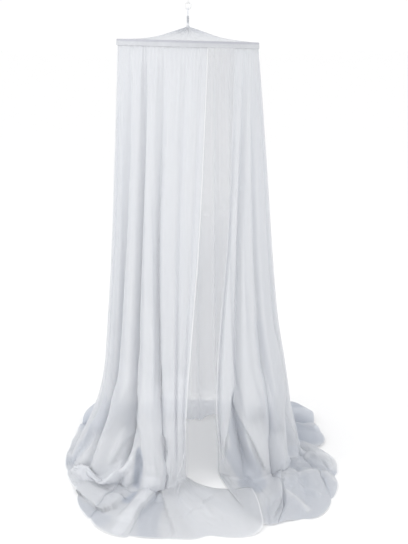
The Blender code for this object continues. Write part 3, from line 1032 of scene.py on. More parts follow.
RIGHT_CREASES = (
    # long fold down the front of the right panel to its point
    Crease(0.034, 0.060, (
        (0.330, -0.260, 0.60), (0.370, -0.240, 0.34), (0.410, -0.220, 0.18),
        (0.460, -0.250, 0.06), (0.448, -0.380, 0.03), (0.435, -0.500, 0.02),
    )),
    # hollow beside it
    Crease(-0.040, 0.050, (
        (0.216, -0.343, 0.52), (0.221, -0.339, 0.40), (0.230, -0.329, 0.30),
        (0.250, -0.311, 0.20), (0.290, -0.300, 0.09), (0.330, -0.360, 0.02),
    )),
    # ridge along the flap behind the right side
    Crease(0.030, 0.040, ((0.500, 0.224, 0.01), (0.599, 0.203, 0.01), (0.730, 0.245, 0.01))),
    # folds that fan out over the right lobe
    Crease(0.030, 0.026, (
        (0.523, -0.146, 0.05), (0.628, -0.074, 0.02), (0.681, -0.105, 0.02),
        (0.738, -0.181, 0.01),
    )),
    Crease(-0.020, 0.026, (
        (0.480, -0.200, 0.05), (0.570, -0.166, 0.02), (0.698, -0.197, 0.02),
        (0.745, -0.237, 0.01),
    )),
    Crease(0.030, 0.024, (
        (0.478, -0.222, 0.02), (0.561, -0.238, 0.02), (0.646, -0.236, 0.02),
        (0.731, -0.292, 0.01),
    )),
    Crease(0.018, 0.024, ((0.460, -0.330, 0.02), (0.560, -0.380, 0.01), (0.640, -0.450, 0.01))),
    Crease(0.024, 0.026, ((0.451, -0.414, 0.02), (0.523, -0.489, 0.02), (0.567, -0.557, 0.01))),
)
LEFT_EDGES = (
    # the ribbon over the front width
    Edge(-1, 0.022, 0.005, 0.050, 0.009, (
        (-0.124, -0.349, 0.76), (-0.128, -0.356, 0.47), (-0.130, -0.360, 0.33),
        (-0.113, -0.363, 0.26), (-0.120, -0.370, 0.14), (-0.137, -0.386, 0.06),
        (-0.147, -0.417, 0.02), (-0.176, -0.504, 0.02), (-0.223, -0.569, 0.02),
        (-0.251, -0.658, 0.01),
    )),
    # the ribbon's other side, over the pocket
    Edge(1, 0.014, 0.008, 0.030, 0.005, (
        (-0.214, -0.309, 0.79), (-0.226, -0.313, 0.56), (-0.230, -0.337, 0.30),
        (-0.227, -0.370, 0.15), (-0.245, -0.416, 0.02), (-0.263, -0.513, 0.02),
        (-0.307, -0.599, 0.01), (-0.321, -0.669, 0.01),
    )),
    # both sides of the broad fold down to its tip
    Edge(1, 0.020, 0.012, 0.045, 0.006, (
        (-0.336, -0.226, 0.52), (-0.355, -0.223, 0.41), (-0.415, -0.216, 0.26),
        (-0.465, -0.223, 0.16), (-0.470, -0.250, 0.09),
    )),
    Edge(-1, 0.018, 0.008, 0.040, 0.006, (
        (-0.240, -0.310, 0.48), (-0.249, -0.319, 0.35), (-0.298, -0.315, 0.24),
        (-0.342, -0.317, 0.15), (-0.380, -0.310, 0.09),
    )),
    # the inner side of the swirl
    Edge(1, 0.014, 0.016, 0.045, 0.006, (
        (-0.250, -0.345, 0.22), (-0.302, -0.338, 0.13), (-0.365, -0.322, 0.06),
        (-0.442, -0.290, 0.01), (-0.520, -0.250, 0.01), (-0.598, -0.155, 0.01),
    )),
    # the lower edge of the rounded lobe
    Edge(-1, 0.018, 0.006, 0.060, 0.010, (
        (-0.253, -0.376, 0.08), (-0.282, -0.375, 0.04), (-0.304, -0.435, 0.02),
        (-0.342, -0.540, 0.01), (-0.400, -0.571, 0.01), (-0.472, -0.497, 0.01),
        (-0.540, -0.415, 0.00), (-0.590, -0.340, 0.00),
    )),
    # the front width over the outer sheet
    Edge(1, 0.013, 0.006, 0.070, 0.008, (
        (-0.138, -0.420, 0.01), (-0.111, -0.522, 0.01),
        (-0.069, -0.708, 0.00), (-0.055, -0.780, 0.00),
    )),
    # the flap at the front
    Edge(-1, 0.005, 0.001, 0.060, 0.004, (
        (0.170, -0.400, 0.00), (0.119, -0.435, 0.00), (0.048, -0.532, 0.00),
        (-0.037, -0.624, 0.00), (-0.070, -0.660, 0.00),
    )),
)
RIGHT_EDGES = (
    # the two sides of the hollow between the front folds
    Edge(-1, 0.012, 0.014, 0.035, 0.006, (
        (0.216, -0.341, 0.50), (0.210, -0.341, 0.43), (0.195, -0.339, 0.33),
        (0.182, -0.319, 0.24), (0.176, -0.290, 0.14), (0.200, -0.285, 0.06),
    )),
    Edge(1, 0.018, 0.020, 0.050, 0.008, (
        (0.222, -0.340, 0.50), (0.230, -0.338, 0.43), (0.268, -0.319, 0.32),
        (0.316, -0.298, 0.21), (0.360, -0.279, 0.10), (0.405, -0.330, 0.02),
    )),
    # the broad fold over the outer strip, and its point
    Edge(-1, 0.020, 0.012, 0.055, 0.008, (
        (0.430, -0.120, 0.75), (0.449, -0.139, 0.48), (0.486, -0.103, 0.30),
        (0.509, -0.100, 0.19), (0.550, -0.060, 0.07),
    )),
    Edge(-1, 0.018, 0.010, 0.040, 0.008, (
        (0.559, -0.068, 0.05), (0.495, -0.184, 0.04), (0.465, -0.277, 0.02),
        (0.455, -0.407, 0.02), (0.452, -0.468, 0.02), (0.385, -0.670, 0.00),
    )),
    # the upper side of a fold on the lobe
    Edge(1, 0.008, 0.006, 0.040, 0.004, (
        (0.480, -0.210, 0.04), (0.561, -0.228, 0.02), (0.646, -0.226, 0.02),
        (0.731, -0.282, 0.01),
    )),
)


def back_painted_light(side: Side) -> tuple[LayerAndLightBand, ...]:
    """Lay out the painted light down the back and out over the floor: lighter bands, two of them
    also more see-through.

    Args:
        side: the panel's side.

    Returns:
        The same three bands on either side.
    """
    near, mid, far = (side.value * across for across in (0.06, 0.12, 0.22))
    return (
        LayerAndLightBand(0.80, 0.260, 0.080, ((near, 0.340, 1.60), (near, 0.345, 1.00), (near, 0.360, 0.10))),
        LayerAndLightBand(1.30, 0.300, 0.500, ((near, 0.330, 2.10), (near, 0.335, 1.80), (near, 0.340, 1.40))),
        LayerAndLightBand(1.40, 0.220, 0.160, ((0.000, 0.520, 0.01), (mid, 0.500, 0.01), (far, 0.450, 0.01))),
    )


LEFT_LAYERS_AND_LIGHT = (
    # painted shade in the hollows between the folds
    LayerAndLightBand(-0.10, 0.030, 0.020, HOLLOW_PATH),
    LayerAndLightBand(-0.45, 0.050, 0.014, (
        (-0.155, -0.480, 0.01), (-0.175, -0.580, 0.01), (-0.180, -0.700, 0.01),
        (-0.170, -0.800, 0.01),
    )),
    LayerAndLightBand(-0.40, 0.050, 0.020, (
        (-0.400, -0.640, 0.01), (-0.500, -0.560, 0.01), (-0.600, -0.440, 0.01),
        (-0.640, -0.340, 0.01),
    )),
    LayerAndLightBand(-0.90, 0.110, 0.100, ((-0.400, 0.240, 0.06), (-0.500, 0.300, 0.01), (-0.62, 0.36, 0.01))),
    # painted light down the back
    *back_painted_light(Side.LEFT),
    # painted shade in the dip behind the broad fold
    LayerAndLightBand(-0.45, 0.050, 0.030, (
        (-0.430, -0.190, 0.40), (-0.490, -0.170, 0.22), (-0.560, -0.130, 0.10),
        (-0.640, -0.100, 0.03),
    )),
    # the ribbon, on the wall and on the floor
    LayerAndLightBand(0.05, 0.052, 0.020, (
        (-0.175, -0.335, 0.80), (-0.178, -0.340, 0.50), (-0.178, -0.355, 0.25),
        (-0.180, -0.378, 0.13), (-0.190, -0.400, 0.06),
    )),
    LayerAndLightBand(0.80, 0.031, 0.012, (
        (-0.186, -0.400, 0.08), (-0.196, -0.440, 0.02), (-0.218, -0.508, 0.02),
        (-0.262, -0.585, 0.02), (-0.292, -0.665, 0.01), (-0.310, -0.720, 0.01),
    )),
    # the broad fold and the swirl, with a painted highlight along the swirl's crest and painted
    # shade in the pocket beside the ribbon
    LayerAndLightBand(0.25, 0.050, 0.020, (
        (-0.290, -0.270, 0.60), (-0.330, -0.270, 0.36), (-0.385, -0.265, 0.24),
        (-0.420, -0.268, 0.15),
    )),
    LayerAndLightBand(0.90, 0.022, 0.010, (
        (-0.258, -0.352, 0.20), (-0.308, -0.352, 0.11), (-0.370, -0.345, 0.05),
        (-0.446, -0.312, 0.01), (-0.520, -0.275, 0.01), (-0.590, -0.190, 0.01),
    )),
    LayerAndLightBand(0.05, 0.070, 0.030, (
        (-0.300, -0.420, 0.02), (-0.370, -0.470, 0.02), (-0.460, -0.430, 0.02),
    )),
    LayerAndLightBand(-0.90, 0.022, 0.012, (
        (-0.238, -0.352, 0.20), (-0.240, -0.372, 0.14), (-0.252, -0.390, 0.06),
        (-0.266, -0.440, 0.02), (-0.290, -0.500, 0.01),
    )),
    # the front width, to the hem
    LayerAndLightBand(0.45, 0.120, 0.060, (
        (-0.040, -0.330, 0.50), (-0.040, -0.340, 0.20), (-0.010, -0.420, 0.02),
        (0.060, -0.520, 0.01), (0.120, -0.640, 0.01), (0.160, -0.720, 0.01),
    )),
)
RIGHT_LAYERS_AND_LIGHT = (
    # painted light down the back
    *back_painted_light(Side.RIGHT),
    # painted shade in the hollow between the front folds
    LayerAndLightBand(-0.45, 0.016, 0.010, (
        (0.219, -0.342, 0.50), (0.222, -0.340, 0.42), (0.228, -0.330, 0.33),
    )),
    LayerAndLightBand(-0.55, 0.040, 0.016, (
        (0.228, -0.330, 0.32), (0.243, -0.317, 0.24), (0.262, -0.302, 0.15),
    )),
    LayerAndLightBand(-0.60, 0.070, 0.020, (
        (0.250, -0.305, 0.15), (0.285, -0.300, 0.07), (0.320, -0.340, 0.02),
    )),
    # the broad fold down to its point, painted a little darker
    LayerAndLightBand(-0.20, 0.050, 0.030, (
        (0.340, -0.255, 0.80), (0.370, -0.240, 0.40), (0.410, -0.220, 0.20),
        (0.450, -0.240, 0.06), (0.435, -0.400, 0.02), (0.400, -0.540, 0.01),
    )),
    # the lobe and the flap, painted darker, and painted highlights along the ridges over them
    LayerAndLightBand(-0.35, 0.125, 0.030, (
        (0.600, -0.160, 0.02), (0.640, -0.250, 0.02), (0.600, -0.380, 0.02),
        (0.540, -0.500, 0.01), (0.470, -0.600, 0.01),
    )),
    LayerAndLightBand(-0.70, 0.130, 0.040, ((0.520, 0.200, 0.01), (0.640, 0.200, 0.01), (0.740, 0.220, 0.01))),
    LayerAndLightBand(-0.70, 0.110, 0.100, ((0.480, 0.340, 0.01), (0.580, 0.350, 0.01), (0.66, 0.380, 0.01))),
    LayerAndLightBand(0.50, 0.012, 0.016, ((0.516, 0.220, 0.01), (0.599, 0.203, 0.01), (0.709, 0.237, 0.01))),
    LayerAndLightBand(0.35, 0.012, 0.016, (
        (0.523, -0.150, 0.05), (0.628, -0.080, 0.02), (0.681, -0.110, 0.02),
        (0.738, -0.186, 0.01),
    )),
    LayerAndLightBand(0.35, 0.012, 0.016, (
        (0.478, -0.226, 0.02), (0.561, -0.242, 0.02), (0.646, -0.240, 0.02),
        (0.731, -0.296, 0.01),
    )),
    LayerAndLightBand(0.30, 0.014, 0.018, ((0.451, -0.418, 0.02), (0.523, -0.493, 0.02), (0.567, -0.56, 0.01))),
)
FRONT_SEAM = (  # the left panel's seam, from the wall out over the floor
    (-0.026, -0.285, 0.22), (-0.034, -0.296, 0.12), (-0.044, -0.330, 0.03),
    (-0.051, -0.366, 0.01), (-0.054, -0.400, 0.00),
)

# the deepest and highest fold, in shares of its width
STEEPEST_DEPTH = 0.42
STEEPEST_RISE = 0.75
SEAM_GAP = 0.0004  # from the middle to each panel at the back seam
SAME_PLACE = 1e-6  # places of a path closer than this count as one
PATH_STEPS = 6  # places for each corner of a rounded path


@dataclass
class NetPanel:
    """One of the two net panels, from the hoop down the wall and out over the floor."""

    name: str
    node: str
    side: Side
    folds: tuple[Fold, ...]
    creases: tuple[Crease, ...]
    edges: tuple[Edge, ...]
    # layers: bands of doubled net, painted highlights, painted light and painted shade
    layers: tuple[LayerAndLightBand, ...]
    flat: tuple[float, float]
    flat_area: float
    columns_per_fold: int = 32
    wall_rows: int = 118
    floor_rows: int = 84
    row_spacing: float = 1.15
    crisp_heights: Ramp = Ramp(2.0, 0.9)
    rounded_above: Ramp = Ramp(45, 15)
    rounded_below: Ramp = Ramp(40, 15)
    floor_turn: Ramp = Ramp(112, 95)
    crispness: float = 1.45
    soft_top: float = 0.2
    hem_width: float = 0.007
    hem_inset: float = 0.0008
    hem_full: float = 0.7
    hem_strength: float = 1.0
    seam_width: Ramp = Ramp(0.0040, 0.0015)
    noise_across: float = 0.09
    noise_down: float = 0.22
    gathers_per_fold: float = 5.0
    gather_depth: float = 0.0020
    gather_heights: Ramp = Ramp(1.55, 2.08)
    gather_top: Ramp = Ramp(2.12, 2.09)
    gather_columns: Ramp = Ramp(0.3, 2.0)
    wrinkle_depth: float = 0.0020
    wrinkle_heights: Ramp = Ramp(1.2, 0.3)
    wrinkle_top: Ramp = Ramp(2.115, 2.0)
    crumple_depth: float = 0.0016
    crumple_heights: Ramp = Ramp(0.24, 0.05)
    # valleys and lobes painted darker between these heights and columns
    valley_heights: Ramp = Ramp(2.1, 1.5)
    lobe_heights: Ramp = Ramp(0.12, 0.03)
    lobe_columns: Ramp = Ramp(1.6, 3.0)
    crease_taper: float = 0.25
    foot_rounding: int = 160
    edge_blend: float = 0.003
    floor_rise: float = 0.5
    flatness: float = 1.8
    uneven_reach: float = 0.012
    uneven_size: float = 0.11

    def columns(self) -> np.ndarray:
        """Places across the panel, in folds from the front edge."""
        last = len(self.folds) - 1
        return np.linspace(0, last, last * self.columns_per_fold + 1)

    def rows(self) -> np.ndarray:
        """Work out the places down the panel.

        Returns:
            Levels from the hoop, closer together at the top.
        """
        upper = np.linspace(0, 1, self.wall_rows + 1)[:-1] ** self.row_spacing * FOOT_LEVEL
        lower = np.linspace(FOOT_LEVEL, HEM_LEVEL, self.floor_rows + 1)
        return np.concatenate([upper, lower])

    def wall_radius(self, section: Section, degrees: np.ndarray) -> np.ndarray:
        """Work out the radius of a level.

        Args:
            section: the level.
            degrees: angles round from the front.

        Returns:
            The radius at each angle.
        """
        turn = np.radians(degrees)
        across = np.sin(turn) ** 2
        ends = np.where(np.cos(turn) > 0, section.front, section.back)
        flank = section.left if self.side is Side.LEFT else section.right
        return ends * (1 - across) + flank * across

    def base_course(self, fold: Fold) -> np.ndarray:
        """Place every level in plan, without folds.

        Args:
            fold: the crests' numbers at each column.

        Returns:
            Plan positions: levels by columns by 2.
        """
        side = self.side.value
        last = SECTIONS[-1]
        turns = np.stack([fold.hoop, fold.waist, fold.knee, fold.foot])
        drops = [-SECTIONS[0].height, -WAIST_HEIGHT, -last.height, 0.0]

        def turn_at(height: float) -> np.ndarray:
            """Angle of each column at a height."""
            return smooth_curve(drops, turns, np.array([-height]))[0]

        plans = []
        for section in SECTIONS:
            turn = turn_at(section.height)
            plans.append(polar(turn, self.wall_radius(section, turn), side))
        knee_radius = self.wall_radius(last, turn_at(last.height))
        for bend in BENDS:
            radius = knee_radius + (fold.foot_r - knee_radius) * bend.outward
            plans.append(polar(turn_at(bend.height), radius, side))
        foot = polar(fold.foot, fold.foot_r, side)
        halfway = (fold.foot + fold.hem) / 2 + fold.swing
        middle = polar(halfway, (fold.foot_r + fold.reach) / 2, side)
        hem = polar(fold.hem, fold.reach, side)
        for run in RUNS:
            t = run.along
            plans.append(
                foot * (1 - t) * (1 - 2 * t) + middle * 4 * t * (1 - t) + hem * t * (2 * t - 1)
            )
        return np.array(plans)

    def loft(
        self, columns: np.ndarray, rows: np.ndarray, ripple: float, crispness: float = 1.0
    ) -> np.ndarray:
        """Points of the panel.

        Args:
            columns: places across the panel.
            rows: places down the panel.
            ripple: scales the folds; 0 gives the panel without them.
            crispness: scales how far the valleys are pinched and leant over.

        Returns:
            Grid of columns by rows by 3.
        """
        table = np.array([list(fold) for fold in self.folds])
        places = np.arange(len(self.folds))
        around = 2 * np.pi * columns
        pinch, lean = smooth_curve(places, table[:, -2:], columns).T * crispness
        shift = (pinch * np.sin(around) + lean * (1 - np.cos(around))) / (2 * np.pi)
        warped = columns + shift * ripple
        fold = Fold(*smooth_curve(places, table, warped).T)
        wave = 1 - 2 * (0.5 - 0.5 * np.cos(around)) ** self.flatness
        wave = wave * ripple
        tuck = np.interp(np.floor(columns), places, table[:, Fold._fields.index("tuck")])
        fold = fold._replace(reach=fold.reach - tuck * (0.5 - 0.5 * wave))

        plans = self.base_course(fold)
        crests = self.base_course(Fold(*table.T))
        gaps = np.linalg.norm(np.gradient(crests, axis=1), axis=2)
        widths = np.array([np.interp(warped, places, gap) for gap in gaps])
        levels = [*SECTIONS, *BENDS, *RUNS]
        heights = np.array([getattr(level, "height", NET_THICKNESS / 2) for level in levels])
        heights = heights[:, None]
        depths = np.array([level.depth for level in levels])[:, None]
        rises = np.array([getattr(level, "rise", 0.0) for level in levels])[:, None]
        on_floor = np.arange(len(levels))[:, None] >= len(levels) - len(RUNS)
        rises = rises * (1 - on_floor * fade(fold.foot, *self.floor_turn) * (1 - self.floor_rise))
        lifts = [min(1.0, 2 * getattr(level, "along", 0.0)) for level in levels]

        away = plans / np.linalg.norm(plans, axis=2, keepdims=True)
        out = np.minimum(fold.depth, STEEPEST_DEPTH * widths) * depths * wave
        plans = plans + away * out[:, :, None]
        crest = 0.5 + 0.5 * wave
        up = np.minimum(fold.rise * rises, STEEPEST_RISE * widths) * crest
        up = up + fold.lift * np.array(lifts)[:, None]
        drop = np.minimum(heights / HOOP_HEIGHT, 1) ** 2 * math.tan(HOOP_TILT)
        points = np.dstack([plans, heights + up - plans[:, :, 0] * drop])
        stack = points.reshape(len(levels), -1)
        grid = smooth_curve(np.arange(len(levels)), stack, rows)
        grid = grid.reshape(len(rows), len(columns), 3).transpose(1, 0, 2)
        grid[:, :, 2] = np.maximum(grid[:, :, 2], NET_THICKNESS / 2) + FLOOR_Z
        return grid

    def round_foot(self, grid: np.ndarray) -> np.ndarray:
        """Soften the turn from wall to floor down each column.

        Args:
            grid: columns by rows by 3.

        Returns:
            The softened grid.
        """
        height = grid[:, :, 2] - FLOOR_Z
        wall = self.wall_rows
        rows = np.arange(grid.shape[1])
        above, below = self.rounded_above, self.rounded_below
        near = fade(rows, wall - above.off, wall - above.on)
        near = near * fade(rows, wall + below.off, wall + below.on)
        share = 0.5 * near[None, 1:-1, None] * np.ones_like(height)[:, 1:-1, None]
        soft = grid.copy()
        for _ in range(self.foot_rounding):
            middle = (soft[:, :-2] + soft[:, 2:]) / 2
            soft[:, 1:-1] += share * (middle - soft[:, 1:-1])
        return soft

    def nearest_on(self, points: np.ndarray, path: np.ndarray) -> Nearest:
        """Find the nearest place of a path for each point.

        Args:
            points: rows of coordinates.
            path: corners of the path.

        Returns:
            The distance, share of the path's length, place and direction there.
        """
        steps = np.diff(path, axis=0)
        lengths = np.linalg.norm(steps, axis=1)
        starts = np.concatenate([[0], np.cumsum(lengths)[:-1]])
        nearest = np.full(len(points), np.inf)
        along = np.zeros(len(points))
        place = np.zeros_like(points)
        heading = np.zeros_like(points)
        for begin, step, length, start in zip(path, steps, lengths, starts):
            share = np.clip((points - begin) @ step / length**2, 0, 1)
            spot = begin + share[:, None] * step
            away = np.linalg.norm(points - spot, axis=1)
            closer = away < nearest
            along = np.where(closer, start + share * length, along)
            place = np.where(closer[:, None], spot, place)
            heading = np.where(closer[:, None], step / length, heading)
            nearest = np.minimum(away, nearest)
        return Nearest(nearest, along / lengths.sum(), place, heading)

    def path_of(self, corners: Sequence[Place]) -> np.ndarray:
        """Round a path's corners and put it on the floor's height.

        Args:
            corners: places of the path, their heights above the floor.

        Returns:
            The rounded path.
        """
        corners = np.array(corners) + (0, 0, FLOOR_Z)
        places = np.arange(len(corners))
        at = np.linspace(0, len(corners) - 1, PATH_STEPS * len(corners))
        return smooth_curve(places, corners, at)

    def snapped(self, points: np.ndarray, path: np.ndarray) -> np.ndarray:
        """Bring a path onto the nearest of some points.

        Args:
            points: rows of coordinates.
            path: places of the path.

        Returns:
            The points that the path passes, each one once.
        """
        found = points[[np.argmin(np.linalg.norm(points - place, axis=1)) for place in path]]
        moved = np.linalg.norm(np.diff(found, axis=0), axis=1) > SAME_PLACE
        return found[np.concatenate([[True], moved])]

    def taper(self, along: np.ndarray) -> np.ndarray:
        """Fade a crease at both ends of its path."""
        end = np.clip(np.minimum(along, 1 - along) / self.crease_taper, 0, 1)
        return end * (2 - end)

    def add_creases(self, grid: np.ndarray, flat: np.ndarray, normals: np.ndarray) -> np.ndarray:
        """Raise and sink the creases along the normals.

        Args:
            grid: the folded panel.
            flat: its points brought onto the panel without folds.
            normals: normals of the panel without folds.

        Returns:
            The creased grid.
        """
        moved = grid.copy()
        points = flat.reshape(-1, 3)
        for crease in self.creases:
            near = self.nearest_on(points, self.path_of(crease.path))
            strength = np.clip(1 - (near.away / crease.width) ** 2, 0, 1) ** 2
            strength = strength * self.taper(near.along) * crease.height
            moved += normals * strength.reshape(grid.shape[:2])[:, :, None]
        return moved

    def add_edges(self, grid: np.ndarray, flat: np.ndarray, normals: np.ndarray) -> np.ndarray:
        """Stand the cloth up on one side of each edge and lap it over the other.

        Args:
            grid: the folded panel.
            flat: its points brought onto the panel without folds.
            normals: normals of the panel without folds.

        Returns:
            The grid with its crisp edges.
        """
        moved = grid.copy()
        points, up = flat.reshape(-1, 3), normals.reshape(-1, 3)
        for edge in self.edges:
            near = self.nearest_on(points, self.path_of(edge.path))
            across = np.cross(near.heading, up)
            across = -across / np.maximum(np.linalg.norm(across, axis=1, keepdims=True), TINY)
            offset = ((points - near.place) * across).sum(axis=1) * edge.side
            share = np.clip(near.away / edge.width, 0, 1)
            swell = (1 - share) ** 2 * (1 + 2 * share)
            raised = fade(offset, -self.edge_blend, self.edge_blend)
            strength = self.taper(near.along)
            height = raised * edge.height * swell
            height -= (1 - raised) * edge.sink * np.clip(1 - 2 * share, 0, 1) ** 2
            lean = (2 * raised - 1) * edge.lap * np.clip(1 - 3 * share, 0, 1)
            shift = up * height[:, None] - across * (lean * edge.side)[:, None]
            moved += (shift * strength[:, None]).reshape(grid.shape)
        return moved

    def layer_and_light_tone(self, flat: np.ndarray) -> np.ndarray:
        """Work out the tone at each place: layers of net, painted highlights and painted shade.

        Args:
            flat: the panel's points brought onto the panel without folds.

        Returns:
            Below 0 for painted shade, up to 1 for net in two layers and painted highlights, and
            above 1 for the back's painted light.
        """
        points = flat.reshape(-1, 3)
        tone = np.zeros(len(points))
        for layer in self.layers:
            away = self.nearest_on(points, self.path_of(layer.path)).away
            share = fade(away, layer.width + layer.soft / 2, layer.width - layer.soft / 2)
            tone = tone * (1 - share) + layer.tone * share
        return tone.reshape(flat.shape[:2])

    def folded(self, smooth: np.ndarray, normals: np.ndarray) -> tuple[np.ndarray, np.ndarray]:
        """Fold and crease the panel.

        Args:
            smooth: the panel without folds.
            normals: its normals.

        Returns:
            The folded grid, and its points brought onto the panel without folds.
        """
        soft = self.loft(self.columns(), self.rows(), 1.0, self.soft_top)
        crisp = self.loft(self.columns(), self.rows(), 1.0, self.crispness)
        share = fade(smooth[:, :, 2:] - FLOOR_Z, *self.crisp_heights)
        grid = self.round_foot(soft + share * (crisp - soft))
        depth = ((grid - smooth) * normals).sum(axis=2, keepdims=True)
        flat = grid - depth * normals
        grid = self.add_creases(grid, flat, normals)
        return self.add_edges(grid, flat, normals), flat

    def noise_over(self, size: float, part: int, down: float) -> np.ndarray:
        """Spread smooth noise over the panel.

        Args:
            size: size of its features.
            part: number that tells this noise from the panel's others.
            down: how fast it changes down the panel, against across.

        Returns:
            A value for each point.
        """
        across = self.columns() * self.noise_across
        places = np.stack(np.meshgrid(across, self.rows() * self.noise_down, indexing="ij"), axis=-1)
        seed = 2.0 if self.side is Side.LEFT else 5.0
        return cloth_noise(places * (1.0, down), size, seed + part)

    def gathers(self, height: np.ndarray) -> np.ndarray:
        """Work out the small pleats under the hoop.

        Args:
            height: height of each point above the floor.

        Returns:
            Crests above 0 and valleys below it, for each point.
        """
        columns = self.columns()
        uneven = 0.6 + 0.4 * self.noise_over(size=0.08, part=4, down=0.10)
        top = fade(height, *self.gather_heights) * uneven
        pleats = uneven_wave(columns, 2 * np.pi * self.gathers_per_fold, sway=1.5, beats=2.3)
        pleats = pleats[:, None] * top * fade(height, *self.gather_top)
        return pleats * (0.35 + 0.65 * fade(columns, *self.gather_columns))[:, None]

    def relief(self, height: np.ndarray, gathers: np.ndarray) -> np.ndarray:
        """Add up gathers, wrinkles on the wall and crumples near the floor.

        Args:
            height: height of each point above the floor.
            gathers: the small pleats under the hoop.

        Returns:
            How far each point stands out, in metres.
        """
        narrow = self.noise_over(size=0.014, part=0, down=0.10)
        fine = narrow + 0.8 * self.noise_over(size=0.034, part=1, down=0.10)
        broad = self.noise_over(size=0.05, part=2, down=0.35)
        crumple = broad + 0.5 * self.noise_over(size=0.022, part=3, down=0.35)
        crumple = 0.6 - 2 * np.abs(crumple)
        wrinkled = 0.5 + 0.5 * fade(height, *self.wrinkle_heights)
        return (
            self.gather_depth * gathers
            + self.wrinkle_depth * fine * wrinkled * fade(height, *self.wrinkle_top)
            + self.crumple_depth * crumple * fade(height, *self.crumple_heights)
        )

    def gathered(self, height: np.ndarray, gathers: np.ndarray) -> np.ndarray:
        """Work out how far the cloth is gathered and painted darker: painted shade in the fold
        valleys, a painted darker tone on the lobes near the floor, and the pleats.

        Args:
            height: height of each point above the floor.
            gathers: the small pleats under the hoop.

        Returns:
            A share from 0 to 1 for each point.
        """
        columns = self.columns()
        wave = np.cos(2 * np.pi * columns)[:, None]
        # painted shade in the fold valleys
        valleys = np.clip(0.5 - 0.5 * wave, 0, 1) ** 2 * 0.55 * fade(height, *self.valley_heights)
        # a painted darker tone on the lobes near the floor
        lobes = fade(height, *self.lobe_heights) * fade(columns, *self.lobe_columns)[:, None]
        return np.clip(valleys + 0.3 * np.abs(gathers) + 0.6 * lobes, 0, 1)

    def front_seam(self, flat: np.ndarray) -> np.ndarray:
        """Find the front seam, which only the left panel has.

        Args:
            flat: the panel's points brought onto the panel without folds.

        Returns:
            A share from 0 to 1 for each point.
        """
        if self.side is Side.RIGHT:
            return np.zeros(flat.shape[:2])
        points = flat.reshape(-1, 3)
        near = self.nearest_on(points, self.snapped(points, self.path_of(FRONT_SEAM)))
        return fade(near.away, *self.seam_width).reshape(flat.shape[:2])

    def shape(self) -> tuple[np.ndarray, dict[Mask, np.ndarray]]:
        """Work out the panel's points and its masks.

        Returns:
            The grid of points, and each mask's value at each point.
        """
        smooth = self.loft(self.columns(), self.rows(), 0.0)
        normals = surface_normals(smooth)
        grid, flat = self.folded(smooth, normals)
        height = smooth[:, :, 2] - FLOOR_Z
        gathers = self.gathers(height)
        grid = grid + normals * self.relief(height, gathers)[:, :, None]
        outline = self.uneven_reach * self.noise_over(self.uneven_size, part=5, down=0.0)
        spread = fade(self.rows(), FOOT_LEVEL, HEM_LEVEL)
        grid[:, :, :2] *= 1 + (outline * spread)[:, :, None]
        grid[:, :, 2] = np.maximum(grid[:, :, 2], FLOOR_Z + NET_THICKNESS)
        grid[-1, :, 0] = self.side.value * SEAM_GAP
        masks = {
            Mask.HEM: self.front_seam(flat),
            Mask.GATHER_AND_SHADE: self.gathered(height, gathers),
            Mask.LAYER_AND_PAINTED_LIGHT: self.layer_and_light_tone(flat),
        }
        return grid, masks

    def build(self, finish: bpy.types.Material) -> bpy.types.Object:
        """Make the panel's sheet.

        Args:
            finish: the net material.

        Returns:
            The new object, riding on the frame in place of its CAD node.
        """
        grid, masks = self.shape()
        inward = -surface_normals(grid)[:1] * self.hem_inset
        edge = grid[:1]
        run = grid[1:2] - edge
        run = run / np.maximum(np.linalg.norm(run, axis=2, keepdims=True), TINY)
        lap = [edge + run * self.hem_width + inward, edge + run * self.hem_width / 2 + inward]
        grid = np.concatenate([*lap, grid])
        extra = np.zeros((len(lap), grid.shape[1]))
        masks = {mask: np.concatenate([extra, values]) for mask, values in masks.items()}
        made = grid_object(self.name, grid)
        from_edge = np.linalg.norm(grid - edge, axis=2)
        from_hem = np.linalg.norm(grid - grid[:, -1:], axis=2)
        near = np.minimum(from_edge, from_hem)
        hem = fade(near, self.hem_width, self.hem_width * self.hem_full) * self.hem_strength
        masks[Mask.HEM] = np.maximum(masks[Mask.HEM], hem)
        for mask, values in masks.items():
            keep_mask(made, mask, values)
        made.data.materials.append(finish)
        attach(made, "root")
        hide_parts(self.node)
        LOG.info("%s: %d faces, %.2f m2", self.name, len(made.data.polygons), cloth_area(made))
        return made


# --------------------------------------------------------------------------------------
# Crown, casing and tape
# --------------------------------------------------------------------------------------


def level_with_hoop(points: np.ndarray, reach: float) -> np.ndarray:
    """Shear points to follow the hoop's tilt.

    Args:
        points: places round the Z axis.
        reach: share of the hoop's radius from which they follow it in full.

    Returns:
        The sheared points.
    """
    out = np.linalg.norm(points[..., :2], axis=-1) / (reach * HOOP_RADIUS)
    moved = points.copy()
    moved[..., 2] -= points[..., 0] * math.tan(HOOP_TILT) * np.minimum(1.0, out)
    return moved


